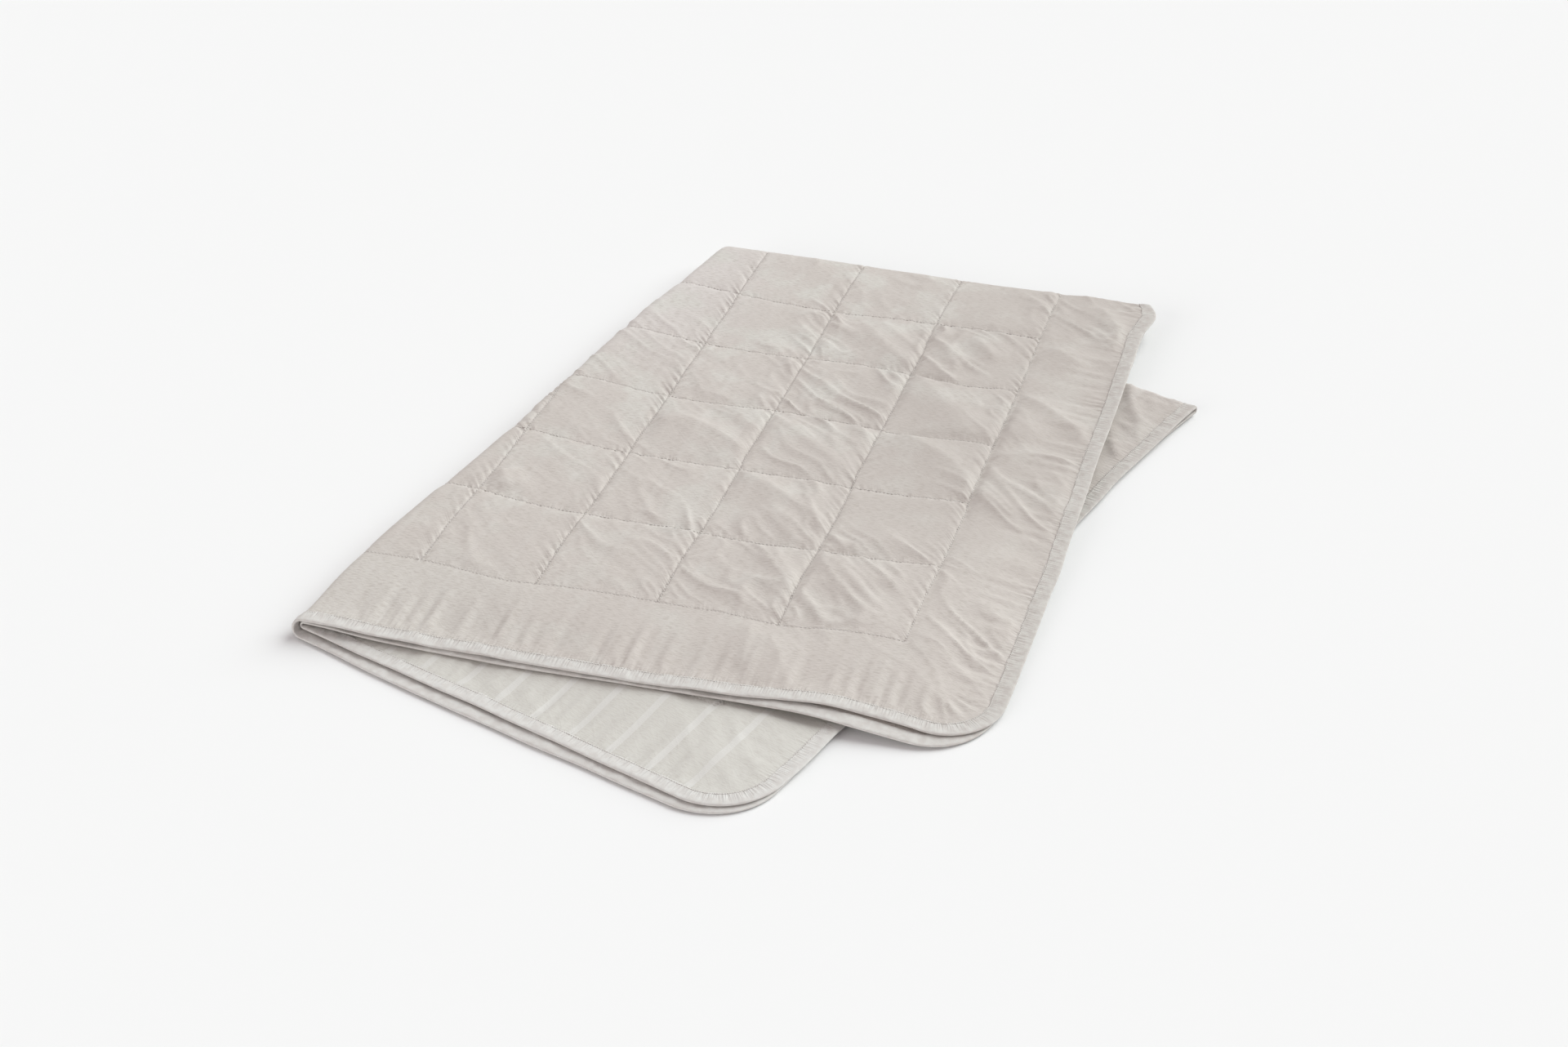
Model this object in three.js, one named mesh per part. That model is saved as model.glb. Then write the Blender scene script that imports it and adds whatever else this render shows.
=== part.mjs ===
// A thin quilted summer duvet, folded twice and laid on a flat surface.
// Millimetres, +Z up. The duvet is drawn flat first, in cloth coordinates: s across its width and
// t along its length, both from its middle. A fold map then carries every cloth point to its place.
// The first fold lays the far half under the near half, with the crease at the back. The second
// fold turns the left part under the right part, along a crease that runs askew at the left.
import * as THREE from 'three';

// The flat duvet
const WIDTH = 1350;
const LENGTH = 2000;
const CORNER_RADIUS = 75;
const SIDE_BORDER = 125;
const END_BORDER = 136;
const CELL_COLUMNS = 8;
const CELL_ROWS = 12;
const CELL_WIDTH = (WIDTH - 2 * SIDE_BORDER) / CELL_COLUMNS;
const CELL_LENGTH = (LENGTH - 2 * END_BORDER) / CELL_ROWS;
const HALF_WIDTH = WIDTH / 2;
const HALF_LENGTH = LENGTH / 2;

// The filling: full thickness of the duvet at its hem, along a seam and in the middle of a cell
const HEM_THICKNESS = 2;
const SEAM_THICKNESS = 2.4;
const CROWN_THICKNESS = 7.2;
const CROWN_SQUARENESS = 8;
const HEM_FLAT = 20;
const BORDER_RISE_END = 70;
const FLOOR_PRESS = 1.6;

// The edge binding: a folded tape around the hem, each wall a little clear of the cloth
const TAPE_WIDTH = 18;
const TAPE_HALF_THICKNESS = 2.2;
const TAPE_WALL = 0.9;
const TAPE_GAP = 0.3;
const TAPE_NOSE = 1.2;
const HEM_INSET = 1.4;

// How closely the layers lie on each other: between the crowns, at the hem, and near the left fold
const LAYER_PITCH = 8;
const HEM_PITCH = 5.4;
const HEM_LOOSE_NEAR_FOLD = 0.8;
const LOOSE_REACH = 80;
const PITCH_RISE_END = 80;

// The first fold, at the back: its crease in flat cloth, and the small turn of that crease
const BACK_CREASE_T = 6;
const BACK_CREASE_TURN = THREE.MathUtils.degToRad(-0.28);
const BACK_RADIUS = LAYER_PITCH / 2;
const BACK_HALF_ARC = Math.PI * BACK_RADIUS / 2;

// The second fold, at the left: where its crease starts at the front hem and ends at the back
const LEFT_CREASE_FRONT = new THREE.Vector2(-100, -HALF_LENGTH);
const LEFT_CREASE_BACK = new THREE.Vector2(66, 0);
const LEFT_AXIS_INSET = 1.5 * LAYER_PITCH;
const LEFT_WAVE = 2.5;
const LEFT_WAVE_LENGTH = 640;
const LEFT_WAVE_START = 120;
const LEFT_WAVE_PHASE = 0.4;
const LEFT_LIFT_BLEND = 25;

// How the upper layers come down beside the lower ones, as distances from the lower layers' edges
const DROP_RIGHT = { floor: -130, full: 60 };
const DROP_BACK = { floor: -300, full: 0 };

// Where the cloth is drawn out or in by hand: centre in flat cloth, and the pull there
const PULL_REACH = 260;
const PULLS = [
  { s: HALF_WIDTH, t: -HALF_LENGTH, alongS: -8, alongT: 14 },
  { s: HALF_WIDTH, t: HALF_LENGTH, alongS: -7, alongT: 5 },
  { s: -HALF_WIDTH, t: -HALF_LENGTH, alongS: -22, alongT: 12 },
  { s: -HALF_WIDTH, t: HALF_LENGTH, alongS: 12, alongT: 1 },
  { s: 0, t: -HALF_LENGTH, alongS: -8, alongT: 6 },
];

// The middle of the folded packet, which becomes the origin
const PACKET_MIDDLE = new THREE.Vector2(334.8, -574.6);

// How finely the solids are cut
const CELL_CUTS = [0, 0.15, 0.85];
const BORDER_CUT = 60;
const CORNER_STEPS = 5;
const BACK_STEPS = 4;
const LEFT_STEPS = 8;
const LEFT_SPARE_STEPS = 1;
const ON_LINE = 0.4;
const SLOPE_STEP = 0.5;
const LEAN_REACH = 80;
const CREASE_PASSES = 6;

const { clamp, smoothstep } = THREE.MathUtils;
const gauss = (x, reach) => Math.exp(-((x / reach) ** 2));

// Directions of the two creases
const backAlong = new THREE.Vector2(Math.cos(BACK_CREASE_TURN), Math.sin(BACK_CREASE_TURN));
const backAcross = new THREE.Vector2(-backAlong.y, backAlong.x);
const leftAlong = LEFT_CREASE_BACK.clone().sub(LEFT_CREASE_FRONT).normalize();
const leftAcross = new THREE.Vector2(-leftAlong.y, leftAlong.x);

// The lower layers' outline, as the mirror image of the duvet's left part in the left crease
function mirrorInLeftCrease(x, y) {
  const point = new THREE.Vector2(x, y);
  const off = point.clone().sub(LEFT_CREASE_FRONT).dot(leftAcross);
  return point.addScaledVector(leftAcross, -2 * off);
}
const lowerFront = mirrorInLeftCrease(-HALF_WIDTH, -HALF_LENGTH);
const lowerBack = mirrorInLeftCrease(-HALF_WIDTH, 0);
const lowerAlong = lowerBack.clone().sub(lowerFront).normalize();
const lowerOut = new THREE.Vector2(lowerAlong.y, -lowerAlong.x);

// Distance from a cloth point to the duvet's rounded outline
function distanceToHem(s, t) {
  const fromSide = HALF_WIDTH - Math.abs(s);
  const fromEnd = HALF_LENGTH - Math.abs(t);
  if (fromSide >= CORNER_RADIUS || fromEnd >= CORNER_RADIUS) return Math.min(fromSide, fromEnd);
  return CORNER_RADIUS - Math.hypot(CORNER_RADIUS - fromSide, CORNER_RADIUS - fromEnd);
}

// Height of one layer: close at the hem, a little looser there near the left fold
function layerPitch(hemDistance, foldDistance) {
  const atHem = HEM_PITCH + HEM_LOOSE_NEAR_FOLD * gauss(foldDistance, LOOSE_REACH);
  return atHem + (LAYER_PITCH - atHem) * smoothstep(hemDistance, HEM_FLAT, PITCH_RISE_END);
}

// The cloth point after the small pulls
function pulled(s, t) {
  const point = new THREE.Vector2(s, t);
  for (const pull of PULLS) {
    const weight = gauss(Math.hypot(s - pull.s, t - pull.t), PULL_REACH);
    point.x += pull.alongS * weight;
    point.y += pull.alongT * weight;
  }
  return point;
}

// First fold: the packet's flat place of a cloth point, and its side, from 1 (near half, on top) to
// -1 (far half, underneath)
function foldAtBack(s, t, hemDistance) {
  const { x, y } = pulled(s, t);
  const point = new THREE.Vector2(x, y - BACK_CREASE_T);
  const along = point.dot(backAlong);
  const across = point.dot(backAcross);
  const angle = clamp((across + BACK_HALF_ARC) / BACK_RADIUS, 0, Math.PI);
  let place = -BACK_RADIUS + layerPitch(hemDistance, Infinity) / 2 * Math.sin(angle);
  if (across < -BACK_HALF_ARC) place = across + BACK_HALF_ARC - BACK_RADIUS;
  if (across > BACK_HALF_ARC) place = BACK_HALF_ARC - across - BACK_RADIUS;
  const flat = new THREE.Vector2(0, BACK_CREASE_T)
    .addScaledVector(backAlong, along)
    .addScaledVector(backAcross, place);
  return { flat, side: Math.cos(angle), across };
}

// Sideways wave of the left fold line
function leftWave(along) {
  const wave = Math.sin(2 * Math.PI * along / LEFT_WAVE_LENGTH + LEFT_WAVE_PHASE);
  return LEFT_WAVE * wave * smoothstep(along, 0, LEFT_WAVE_START);
}

// What the upper layers rest on: the lower layers, then a soft slope down to the surface
function supportHeight(x, y, foldDistance, ownPitch) {
  const fromFront = new THREE.Vector2(x, y).sub(lowerFront);
  const fromBack = new THREE.Vector2(x, y).sub(lowerBack);
  const rightInside = -fromFront.dot(lowerOut);
  const frontInside = fromFront.dot(lowerAlong);
  const backInside = -fromBack.dot(lowerAlong);
  const held = smoothstep(rightInside, DROP_RIGHT.floor, DROP_RIGHT.full)
    * smoothstep(backInside, DROP_BACK.floor, DROP_BACK.full);
  const away = smoothstep(-foldDistance, 0, LEFT_LIFT_BLEND);
  return 2 * (ownPitch * (1 - away) + layerPitch(frontInside, foldDistance) * held * away);
}

// Where a cloth point lies against the left fold: how far along its crease, how far past the axis
// that the cloth turns round, and how far round the bend
function placeAtLeft(s, t, hemDistance) {
  const { flat, side, across } = foldAtBack(s, t, hemDistance);
  const offset = flat.sub(LEFT_CREASE_FRONT);
  const along = offset.dot(leftAlong);
  const sideways = offset.dot(leftAcross);
  const wave = leftWave(along);
  const pastAxis = sideways - wave + LEFT_AXIS_INSET;
  const clothRadius = LAYER_PITCH * (1 - across / LENGTH);
  const angle = clamp(pastAxis / clothRadius, 0, Math.PI);
  return { side, along, sideways, wave, pastAxis, clothRadius, angle };
}

// The fold map: the middle of the duvet's thickness, for a cloth point
function midSurface(s, t) {
  const hemDistance = distanceToHem(s, t);
  const at = placeAtLeft(s, t, hemDistance);
  const pitch = layerPitch(hemDistance, at.pastAxis);
  const bendRadius = pitch * (1 + at.side / 2);
  let place = at.sideways;
  if (at.pastAxis >= 0) place = at.wave - LEFT_AXIS_INSET + bendRadius * Math.sin(at.angle);
  if (at.angle === Math.PI) place += Math.PI * at.clothRadius - at.pastAxis;
  const ground = LEFT_CREASE_FRONT.clone()
    .addScaledVector(leftAlong, at.along)
    .addScaledVector(leftAcross, place);
  const height = at.pastAxis < 0
    ? supportHeight(ground.x, ground.y, at.pastAxis, pitch) + pitch * (1 + at.side / 2)
    : 2 * pitch + bendRadius * Math.cos(at.angle);
  return new THREE.Vector3(ground.x, ground.y, height);
}

// Normal of the middle surface, on the side that shows
function clothNormal(s, t) {
  const ds = midSurface(s + SLOPE_STEP, t).sub(midSurface(s - SLOPE_STEP, t));
  const dt = midSurface(s, t + SLOPE_STEP).sub(midSurface(s, t - SLOPE_STEP));
  return ds.cross(dt).normalize();
}

// Rounded crown between two seams, 0 at both and 1 in the middle
const crown = (fraction) => 1 - (2 * fraction - 1) ** CROWN_SQUARENESS;

// Thickness of the filled duvet: sewn down at the seams, crowned in the cells and in the border
function thickness(s, t) {
  const column = (s + HALF_WIDTH - SIDE_BORDER) / CELL_WIDTH;
  const row = (t + HALF_LENGTH - END_BORDER) / CELL_LENGTH;
  const inQuilting = column >= 0 && column <= CELL_COLUMNS && row >= 0 && row <= CELL_ROWS;
  const swell = CROWN_THICKNESS - SEAM_THICKNESS;
  if (inQuilting) {
    const across = crown(column - Math.floor(column));
    const along = crown(row - Math.floor(row));
    return SEAM_THICKNESS + swell * across * along;
  }
  const sideRoom = clamp((HALF_WIDTH - Math.abs(s)) / SIDE_BORDER, 0, 1);
  const endRoom = clamp((HALF_LENGTH - Math.abs(t)) / END_BORDER, 0, 1);
  const room = Math.min(sideRoom, endRoom);
  const atSeam = SEAM_THICKNESS + swell * crown(0.5 + room / 2);
  const rise = smoothstep(distanceToHem(s, t), HEM_FLAT, BORDER_RISE_END);
  return HEM_THICKNESS + (atSeam - HEM_THICKNESS) * rise;
}

// A point of a solid: so far off the middle surface, pressed flat where it touches the surface below
function solidPoint(s, t, off, pressed) {
  const point = midSurface(s, t).addScaledVector(clothNormal(s, t), off);
  if (pressed && point.z < FLOOR_PRESS) point.z = 0;
  point.x -= PACKET_MIDDLE.x;
  point.y -= PACKET_MIDDLE.y;
  return point;
}

// A flat drawing of convex pieces that straight lines cut up. Points that fall together are shared.
class FlatDrawing {
  constructor(outline) {
    this.points = [];
    this.index = new Map();
    this.pieces = [outline.map(([s, t]) => this.point(s, t))];
  }

  point(s, t) {
    const key = `${Math.round(s * 1000)},${Math.round(t * 1000)}`;
    if (!this.index.has(key)) {
      this.index.set(key, this.points.length);
      this.points.push([s, t]);
    }
    return this.index.get(key);
  }

  // Where the edge between two points meets a line, from the same end whichever way it is walked
  crossing(i, j, side) {
    const [first, last] = i < j ? [i, j] : [j, i];
    const a = this.points[first];
    const b = this.points[last];
    const da = side(a);
    const k = da / (da - side(b));
    return this.point(a[0] + (b[0] - a[0]) * k, a[1] + (b[1] - a[1]) * k);
  }

  // Cuts the pieces inside an area along a line; keepBelow drops what lies beyond it
  cut(line, { within = () => true, keepBelow = false } = {}) {
    const side = ([s, t]) => line.a * s + line.b * t - line.c;
    const kept = [];
    for (const piece of this.pieces) {
      if (!within(this.middle(piece))) {
        kept.push(piece);
        continue;
      }
      const [below, above] = this.split(piece, side);
      if (below) kept.push(below);
      if (above && !keepBelow) kept.push(above);
    }
    this.pieces = kept;
  }

  split(piece, side) {
    const place = piece.map((i) => {
      const d = side(this.points[i]);
      return Math.abs(d) < ON_LINE ? 0 : Math.sign(d);
    });
    if (!place.includes(1)) return [piece, null];
    if (!place.includes(-1)) return [null, piece];
    const below = [];
    const above = [];
    piece.forEach((i, n) => {
      const next = (n + 1) % piece.length;
      if (place[n] <= 0) below.push(i);
      if (place[n] >= 0) above.push(i);
      if (place[n] * place[next] < 0) {
        const c = this.crossing(i, piece[next], side);
        below.push(c);
        above.push(c);
      }
    });
    return [below, above];
  }

  middle(piece) {
    const sum = piece.reduce(([s, t], i) => [s + this.points[i][0], t + this.points[i][1]], [0, 0]);
    return [sum[0] / piece.length, sum[1] / piece.length];
  }

  // Each piece as a fan of triangles, from its corner with the widest view of the others
  triangles() {
    return this.pieces.flatMap((piece) => {
      const start = this.bestFanCorner(piece);
      const turned = [...piece.slice(start), ...piece.slice(0, start)];
      return turned.slice(2).map((last, n) => [turned[0], turned[n + 1], last]);
    });
  }

  bestFanCorner(piece) {
    const reach = piece.map((i, n) => {
      const others = piece.filter((j, m) => (m - n + piece.length) % piece.length > 1
        && (n - m + piece.length) % piece.length > 1);
      return others.reduce((sum, j) => sum + Math.hypot(
        this.points[i][0] - this.points[j][0], this.points[i][1] - this.points[j][1]), 0);
    });
    return reach.indexOf(Math.min(...reach));
  }

  // Drops the points that no triangle uses, and numbers the triangles' points again
  dropUnused(triangles) {
    const used = [...new Set(triangles.flat())].sort((a, b) => a - b);
    const place = new Map(used.map((i, n) => [i, n]));
    this.points = used.map((i) => this.points[i]);
    return triangles.map((triangle) => triangle.map((i) => place.get(i)));
  }

  // The points round the outside, in order
  outline(triangles) {
    const next = new Map();
    const key = (a, b) => a * this.points.length + b;
    const edges = new Set(triangles.flatMap(([a, b, c]) => [key(a, b), key(b, c), key(c, a)]));
    for (const [a, b, c] of triangles) {
      for (const [from, to] of [[a, b], [b, c], [c, a]]) {
        if (!edges.has(key(to, from))) next.set(from, to);
      }
    }
    const loop = [next.keys().next().value];
    while (next.get(loop.at(-1)) !== loop[0]) loop.push(next.get(loop.at(-1)));
    return loop;
  }
}

// Lines in flat cloth, as a*s + b*t = c
const lineAcross = (t) => ({ a: 0, b: 1, c: t });
const lineAlong = (s) => ({ a: 1, b: 0, c: s });
function lineThrough(p, q) {
  const length = Math.hypot(q[0] - p[0], q[1] - p[1]);
  const a = (q[1] - p[1]) / length;
  const b = -(q[0] - p[0]) / length;
  return { a, b, c: a * p[0] + b * p[1] };
}

function cutQuilting(drawing) {
  for (const [half, border, cells, size, line] of [
    [HALF_WIDTH, SIDE_BORDER, CELL_COLUMNS, CELL_WIDTH, lineAlong],
    [HALF_LENGTH, END_BORDER, CELL_ROWS, CELL_LENGTH, lineAcross],
  ]) {
    for (const side of [-1, 1]) drawing.cut(line(side * (half - BORDER_CUT)));
    for (let cell = 0; cell < cells; cell += 1) {
      for (const part of CELL_CUTS) drawing.cut(line(border - half + (cell + part) * size));
    }
    drawing.cut(line(half - border));
  }
}

// Trims the drawing to the line where the flat hem starts, with its corners in short chords
function trimToHem(drawing) {
  const radius = CORNER_RADIUS - HEM_FLAT;
  for (const [signS, signT] of [[-1, -1], [-1, 1], [1, -1], [1, 1]]) {
    for (let step = 0; step < CORNER_STEPS; step += 1) {
      const ends = [step, step + 1].map((n) => n / CORNER_STEPS * Math.PI / 2);
      const half = (ends[1] - ends[0]) / 2;
      const facing = (ends[0] + ends[1]) / 2;
      const a = signS * Math.cos(facing);
      const b = signT * Math.sin(facing);
      const reach = Math.abs(a) * (HALF_WIDTH - CORNER_RADIUS)
        + Math.abs(b) * (HALF_LENGTH - CORNER_RADIUS) + radius * Math.cos(half);
      drawing.cut({ a, b, c: reach }, { keepBelow: true });
    }
  }
}

// Height of the back crease's line in flat cloth, at s, for a point so far beyond the crease
function backCreaseT(s, beyond) {
  return BACK_CREASE_T + (beyond + s * Math.sin(BACK_CREASE_TURN)) / Math.cos(BACK_CREASE_TURN);
}

function cutBackCrease(drawing) {
  for (let step = 0; step <= BACK_STEPS; step += 1) {
    const beyond = BACK_HALF_ARC * (2 * step / BACK_STEPS - 1);
    drawing.cut(lineThrough([-HALF_WIDTH, backCreaseT(-HALF_WIDTH, beyond)],
      [HALF_WIDTH, backCreaseT(HALF_WIDTH, beyond)]));
  }
}

// Where the cloth has gone so far round the left fold, at t in flat cloth
function leftCreaseS(t, angle) {
  let s = 0;
  for (let pass = 0; pass < CREASE_PASSES; pass += 1) {
    const { pastAxis, clothRadius } = placeAtLeft(s, t, CORNER_RADIUS);
    s += (pastAxis - angle * clothRadius) / Math.abs(leftAcross.x);
  }
  return s;
}

// Lines that follow the left fold from hem to hem, in straight stretches that end on seams
function cutLeftCrease(drawing) {
  const seamT = (row) => row * CELL_LENGTH;
  const stops = [-HALF_LENGTH, seamT(-5), seamT(-3), seamT(-1), BACK_CREASE_T,
    seamT(1), seamT(3), seamT(5), HALF_LENGTH];
  const nearHalf = ([s, t]) => t < backCreaseT(s, 0);
  for (let step = -LEFT_SPARE_STEPS; step <= LEFT_STEPS + LEFT_SPARE_STEPS; step += 1) {
    const angle = step / LEFT_STEPS * Math.PI;
    const bends = stops.map((t) => {
      const s = leftCreaseS(t, angle);
      return [s, t === BACK_CREASE_T ? backCreaseT(s, 0) : t];
    });
    stops.slice(1).forEach((stop, n) => {
      const start = stops[n];
      const near = stop <= BACK_CREASE_T;
      const within = (middle) => nearHalf(middle) === near
        && (start === BACK_CREASE_T || middle[1] > start)
        && (stop === BACK_CREASE_T || middle[1] < stop);
      drawing.cut(lineThrough(bends[n], bends[n + 1]), { within });
    });
  }
}

// Sideways slope of the left fold in flat cloth where it meets an end hem
function hemLean(s, t) {
  if (Math.abs(t) < HALF_LENGTH - CORNER_RADIUS) return 0;
  const end = Math.sign(t) * HALF_LENGTH;
  const atHem = leftCreaseS(end, Math.PI / 2);
  const inside = leftCreaseS(end - Math.sign(t) * HEM_FLAT, Math.PI / 2);
  return gauss(s - atHem, LEAN_REACH) * (inside - atHem) / HEM_FLAT;
}

// A cloth point so far inside the outline, straight in from the outline or towards a corner's
// centre. Where the left crease meets the end hems, the step leans to run along the crease.
function insideHem([s, t], inset) {
  const coreS = clamp(s, CORNER_RADIUS - HALF_WIDTH, HALF_WIDTH - CORNER_RADIUS);
  const coreT = clamp(t, CORNER_RADIUS - HALF_LENGTH, HALF_LENGTH - CORNER_RADIUS);
  const scale = (CORNER_RADIUS - inset) / Math.hypot(s - coreS, t - coreT);
  const lean = hemLean(s, t) * (HEM_FLAT - inset);
  return [coreS + (s - coreS) * scale - lean, coreT + (t - coreT) * scale];
}

// A four-sided patch as two triangles, parted from its first corner to its third
const patch = (a, b, c, d) => [[a, b, c], [a, c, d]];

function closedMesh(name, points, triangles, material) {
  const geometry = new THREE.BufferGeometry();
  geometry.setAttribute('position', new THREE.Float32BufferAttribute(
    points.flatMap((p) => [p.x, p.y, p.z]), 3));
  geometry.setIndex(triangles.flat());
  geometry.computeVertexNormals();
  const mesh = new THREE.Mesh(geometry, material);
  mesh.name = name;
  return mesh;
}

// The filled duvet: both faces of the flat drawing, and the rim that joins them
function filledDuvet(drawing, triangles, hem, material) {
  const count = drawing.points.length;
  const points = [];
  for (const side of [1, -1]) {
    for (const [s, t] of drawing.points) {
      points.push(solidPoint(s, t, side * thickness(s, t) / 2, true));
    }
  }
  for (const side of [1, -1]) {
    for (const i of hem) {
      const [s, t] = insideHem(drawing.points[i], HEM_INSET);
      points.push(solidPoint(s, t, side * HEM_THICKNESS / 2, false));
    }
  }
  const faces = triangles.flatMap(([a, b, c]) => [[a, b, c], [c + count, b + count, a + count]]);
  const rimTop = 2 * count;
  const rimBottom = rimTop + hem.length;
  hem.forEach((i, n) => {
    const m = (n + 1) % hem.length;
    const j = hem[m];
    faces.push(...patch(i, rimTop + n, rimTop + m, j));
    faces.push(...patch(rimTop + n, rimBottom + n, rimBottom + m, rimTop + m));
    faces.push(...patch(rimBottom + m, rimBottom + n, i + count, j + count));
  });
  return closedMesh('duvet_body', points, faces, material);
}

// Section of the binding: distance in from the outline, and height off the middle of the cloth
function bindingSection() {
  const inner = TAPE_HALF_THICKNESS - TAPE_WALL;
  const channelEnd = HEM_INSET - TAPE_GAP;
  return [
    [TAPE_WIDTH, TAPE_HALF_THICKNESS], [TAPE_NOSE, TAPE_HALF_THICKNESS], [0, 0],
    [TAPE_NOSE, -TAPE_HALF_THICKNESS], [TAPE_WIDTH, -TAPE_HALF_THICKNESS],
    [TAPE_WIDTH, -inner], [channelEnd, -inner], [channelEnd, inner], [TAPE_WIDTH, inner],
  ];
}

// The binding: its section carried round the hem. Its walls are parted the way the cloth's hem is.
function edgeBinding(drawing, hem, material) {
  const section = bindingSection();
  const points = hem.flatMap((i) => section.map(([inset, off]) => {
    const [s, t] = insideHem(drawing.points[i], inset);
    return solidPoint(s, t, off, false);
  }));
  const faces = [];
  hem.forEach((_, n) => {
    const here = n * section.length;
    const next = ((n + 1) % hem.length) * section.length;
    section.forEach((__, k) => {
      const l = (k + 1) % section.length;
      const outward = section[k][0] >= section[l][0];
      faces.push(...(outward ? patch(here + k, here + l, next + l, next + k)
        : patch(here + l, next + l, next + k, here + k)));
    });
  });
  return closedMesh('edge_binding', points, faces, material);
}

const cottonCloth = new THREE.MeshStandardMaterial({ color: 0xcfc8c2, roughness: 0.86, metalness: 0 });
const bindingTape = new THREE.MeshStandardMaterial({ color: 0xe0ddd7, roughness: 0.8, metalness: 0 });

const drawing = new FlatDrawing([
  [-HALF_WIDTH, -HALF_LENGTH], [HALF_WIDTH, -HALF_LENGTH],
  [HALF_WIDTH, HALF_LENGTH], [-HALF_WIDTH, HALF_LENGTH],
]);
for (const side of [-1, 1]) {
  drawing.cut({ a: side, b: 0, c: HALF_WIDTH - HEM_FLAT }, { keepBelow: true });
  drawing.cut({ a: 0, b: side, c: HALF_LENGTH - HEM_FLAT }, { keepBelow: true });
}
trimToHem(drawing);
cutQuilting(drawing);
cutBackCrease(drawing);
cutLeftCrease(drawing);
const triangles = drawing.dropUnused(drawing.triangles());
const hem = drawing.outline(triangles);

const duvet = new THREE.Group();
duvet.name = 'summer_duvet';
duvet.add(filledDuvet(drawing, triangles, hem, cottonCloth));
duvet.add(edgeBinding(drawing, hem, bindingTape));

export default duvet;
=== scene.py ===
import math
from collections import namedtuple

import bpy
import numpy as np
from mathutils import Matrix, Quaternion, Vector


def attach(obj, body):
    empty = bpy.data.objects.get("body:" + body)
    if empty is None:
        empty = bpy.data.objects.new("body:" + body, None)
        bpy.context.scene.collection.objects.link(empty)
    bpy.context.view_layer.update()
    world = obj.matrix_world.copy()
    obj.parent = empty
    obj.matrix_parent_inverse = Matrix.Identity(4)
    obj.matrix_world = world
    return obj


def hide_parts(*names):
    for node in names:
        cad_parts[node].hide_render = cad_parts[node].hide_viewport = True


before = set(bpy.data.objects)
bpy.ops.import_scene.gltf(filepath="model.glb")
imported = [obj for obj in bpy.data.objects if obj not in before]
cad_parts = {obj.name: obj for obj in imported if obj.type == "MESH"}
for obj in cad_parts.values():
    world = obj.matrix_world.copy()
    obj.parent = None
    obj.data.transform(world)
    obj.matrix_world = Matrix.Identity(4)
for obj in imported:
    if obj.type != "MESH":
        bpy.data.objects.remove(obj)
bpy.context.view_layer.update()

# The camera
# It stands before the front hem, a little to the right of the packet, and looks down on it at
# about 32 degrees, as in the photograph.
EYE = Vector((0.6560, -2.2572, 1.4432))
LOOK_AT = Vector((0.0105, -0.0508, 0.0))
CAMERA_ROLL = math.radians(0.19)
LENS = 53.79
SENSOR_WIDTH = 36.0

camera = bpy.data.objects.new("camera", bpy.data.cameras.new("camera"))
camera.data.lens = LENS
camera.data.sensor_width = SENSOR_WIDTH
camera.location = EYE
camera.rotation_mode = "QUATERNION"
camera.rotation_quaternion = (LOOK_AT - EYE).to_track_quat("-Z", "Y") @ Quaternion((0, 0, 1), CAMERA_ROLL)
bpy.context.collection.objects.link(camera)
bpy.context.scene.camera = camera

# The quilted duvet
# Two cotton cloths with a thin filling between them, sewn through in squares and left unquilted
# along the hem. It is folded in half at the back, then the left third is folded under, askew.
# Sizes are in millimetres on the flat duvet: s runs across it, t along it, both from its middle.
WIDTH = 1350.0
LENGTH = 2000.0
CORNER_RADIUS = 75.0
CELL_WIDTH = 137.5
CELL_LENGTH = 144.0
CELLS_ACROSS = 8
CELLS_ALONG = 12
TAPE_WIDTH = 18.0
HEM_THICKNESS = 1.6
SEAM_THICKNESS = 4.0
DEPTH_ACROSS = 0.5
CROWN_THICKNESS = 7.0
BORDER_CROWN = 6.2
SQUARENESS_ACROSS = 50
BACK_LEAN = 0.6
SQUARENESS_ALONG = 6
HEM_FLAT = 20.0
BORDER_RISE_END = 90.0
LAYER_PITCH = 8.0
HEM_PITCH = 4.2
HEM_LOOSE_NEAR_FOLD = 1.6
LOOSE_REACH = 80.0
PITCH_RISE_END = 200.0
BACK_CREASE_T = 6.0
BACK_CREASE_TURN = math.radians(-0.28)
LEFT_CREASE_FRONT = np.array([-100.0, -1000.0])
LEFT_CREASE_BACK = np.array([66.0, 0.0])
LEFT_AXIS_INSET = 12.0
LEFT_WAVE = 2.5
LEFT_WAVE_LENGTH = 640.0
LEFT_WAVE_START = 120.0
LEFT_WAVE_PHASE = 0.4
LEFT_LIFT_BLEND = 25.0
DROP_RIGHT = (-130.0, 60.0)
DROP_BACK = (-300.0, 0.0)
PACKET_MIDDLE = (334.8, -574.6)
METRE = 0.001
SLOPE_STEP = 0.5
FAR_FROM_FOLD = 1000.0

Pull = namedtuple("Pull", "s t across along reach")
PULLS = (
    Pull(675, -1000, -8, 14, 260),
    Pull(675, 1000, -7, 5, 260),
    Pull(-675, -1000, -22, 12, 260),
    Pull(-675, 1000, 12, 1, 260),
    Pull(0, -1000, -8, 6, 260),
    Pull(530, -1000, 0, 11, 100),
    Pull(150, 1000, 0, 9, 230),
    Pull(675, -38, 10, 0, 38),
    Pull(675, 6, -8, 0, 24),
)
HEM_WOBBLE = 1.3
HEM_WOBBLE_LENGTH = 55.0
HEM_WOBBLE_REACH = 60.0
HEM_WOBBLE_ROW = 3.5
TOP_HEM_LIFT = 1.6
TOP_HEM_LIFT_REACH = 55.0
TOP_HEM_LIFT_LENGTH = 45.0
TOP_HEM_LIFT_BIAS = 0.15
TOP_HEM_LIFT_BLEND = 60.0
BACK_CORNER_LIFT = 15.0
BACK_CORNER_REACH = 125.0
UNDER_CORNER_LIFT = 5.0
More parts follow.
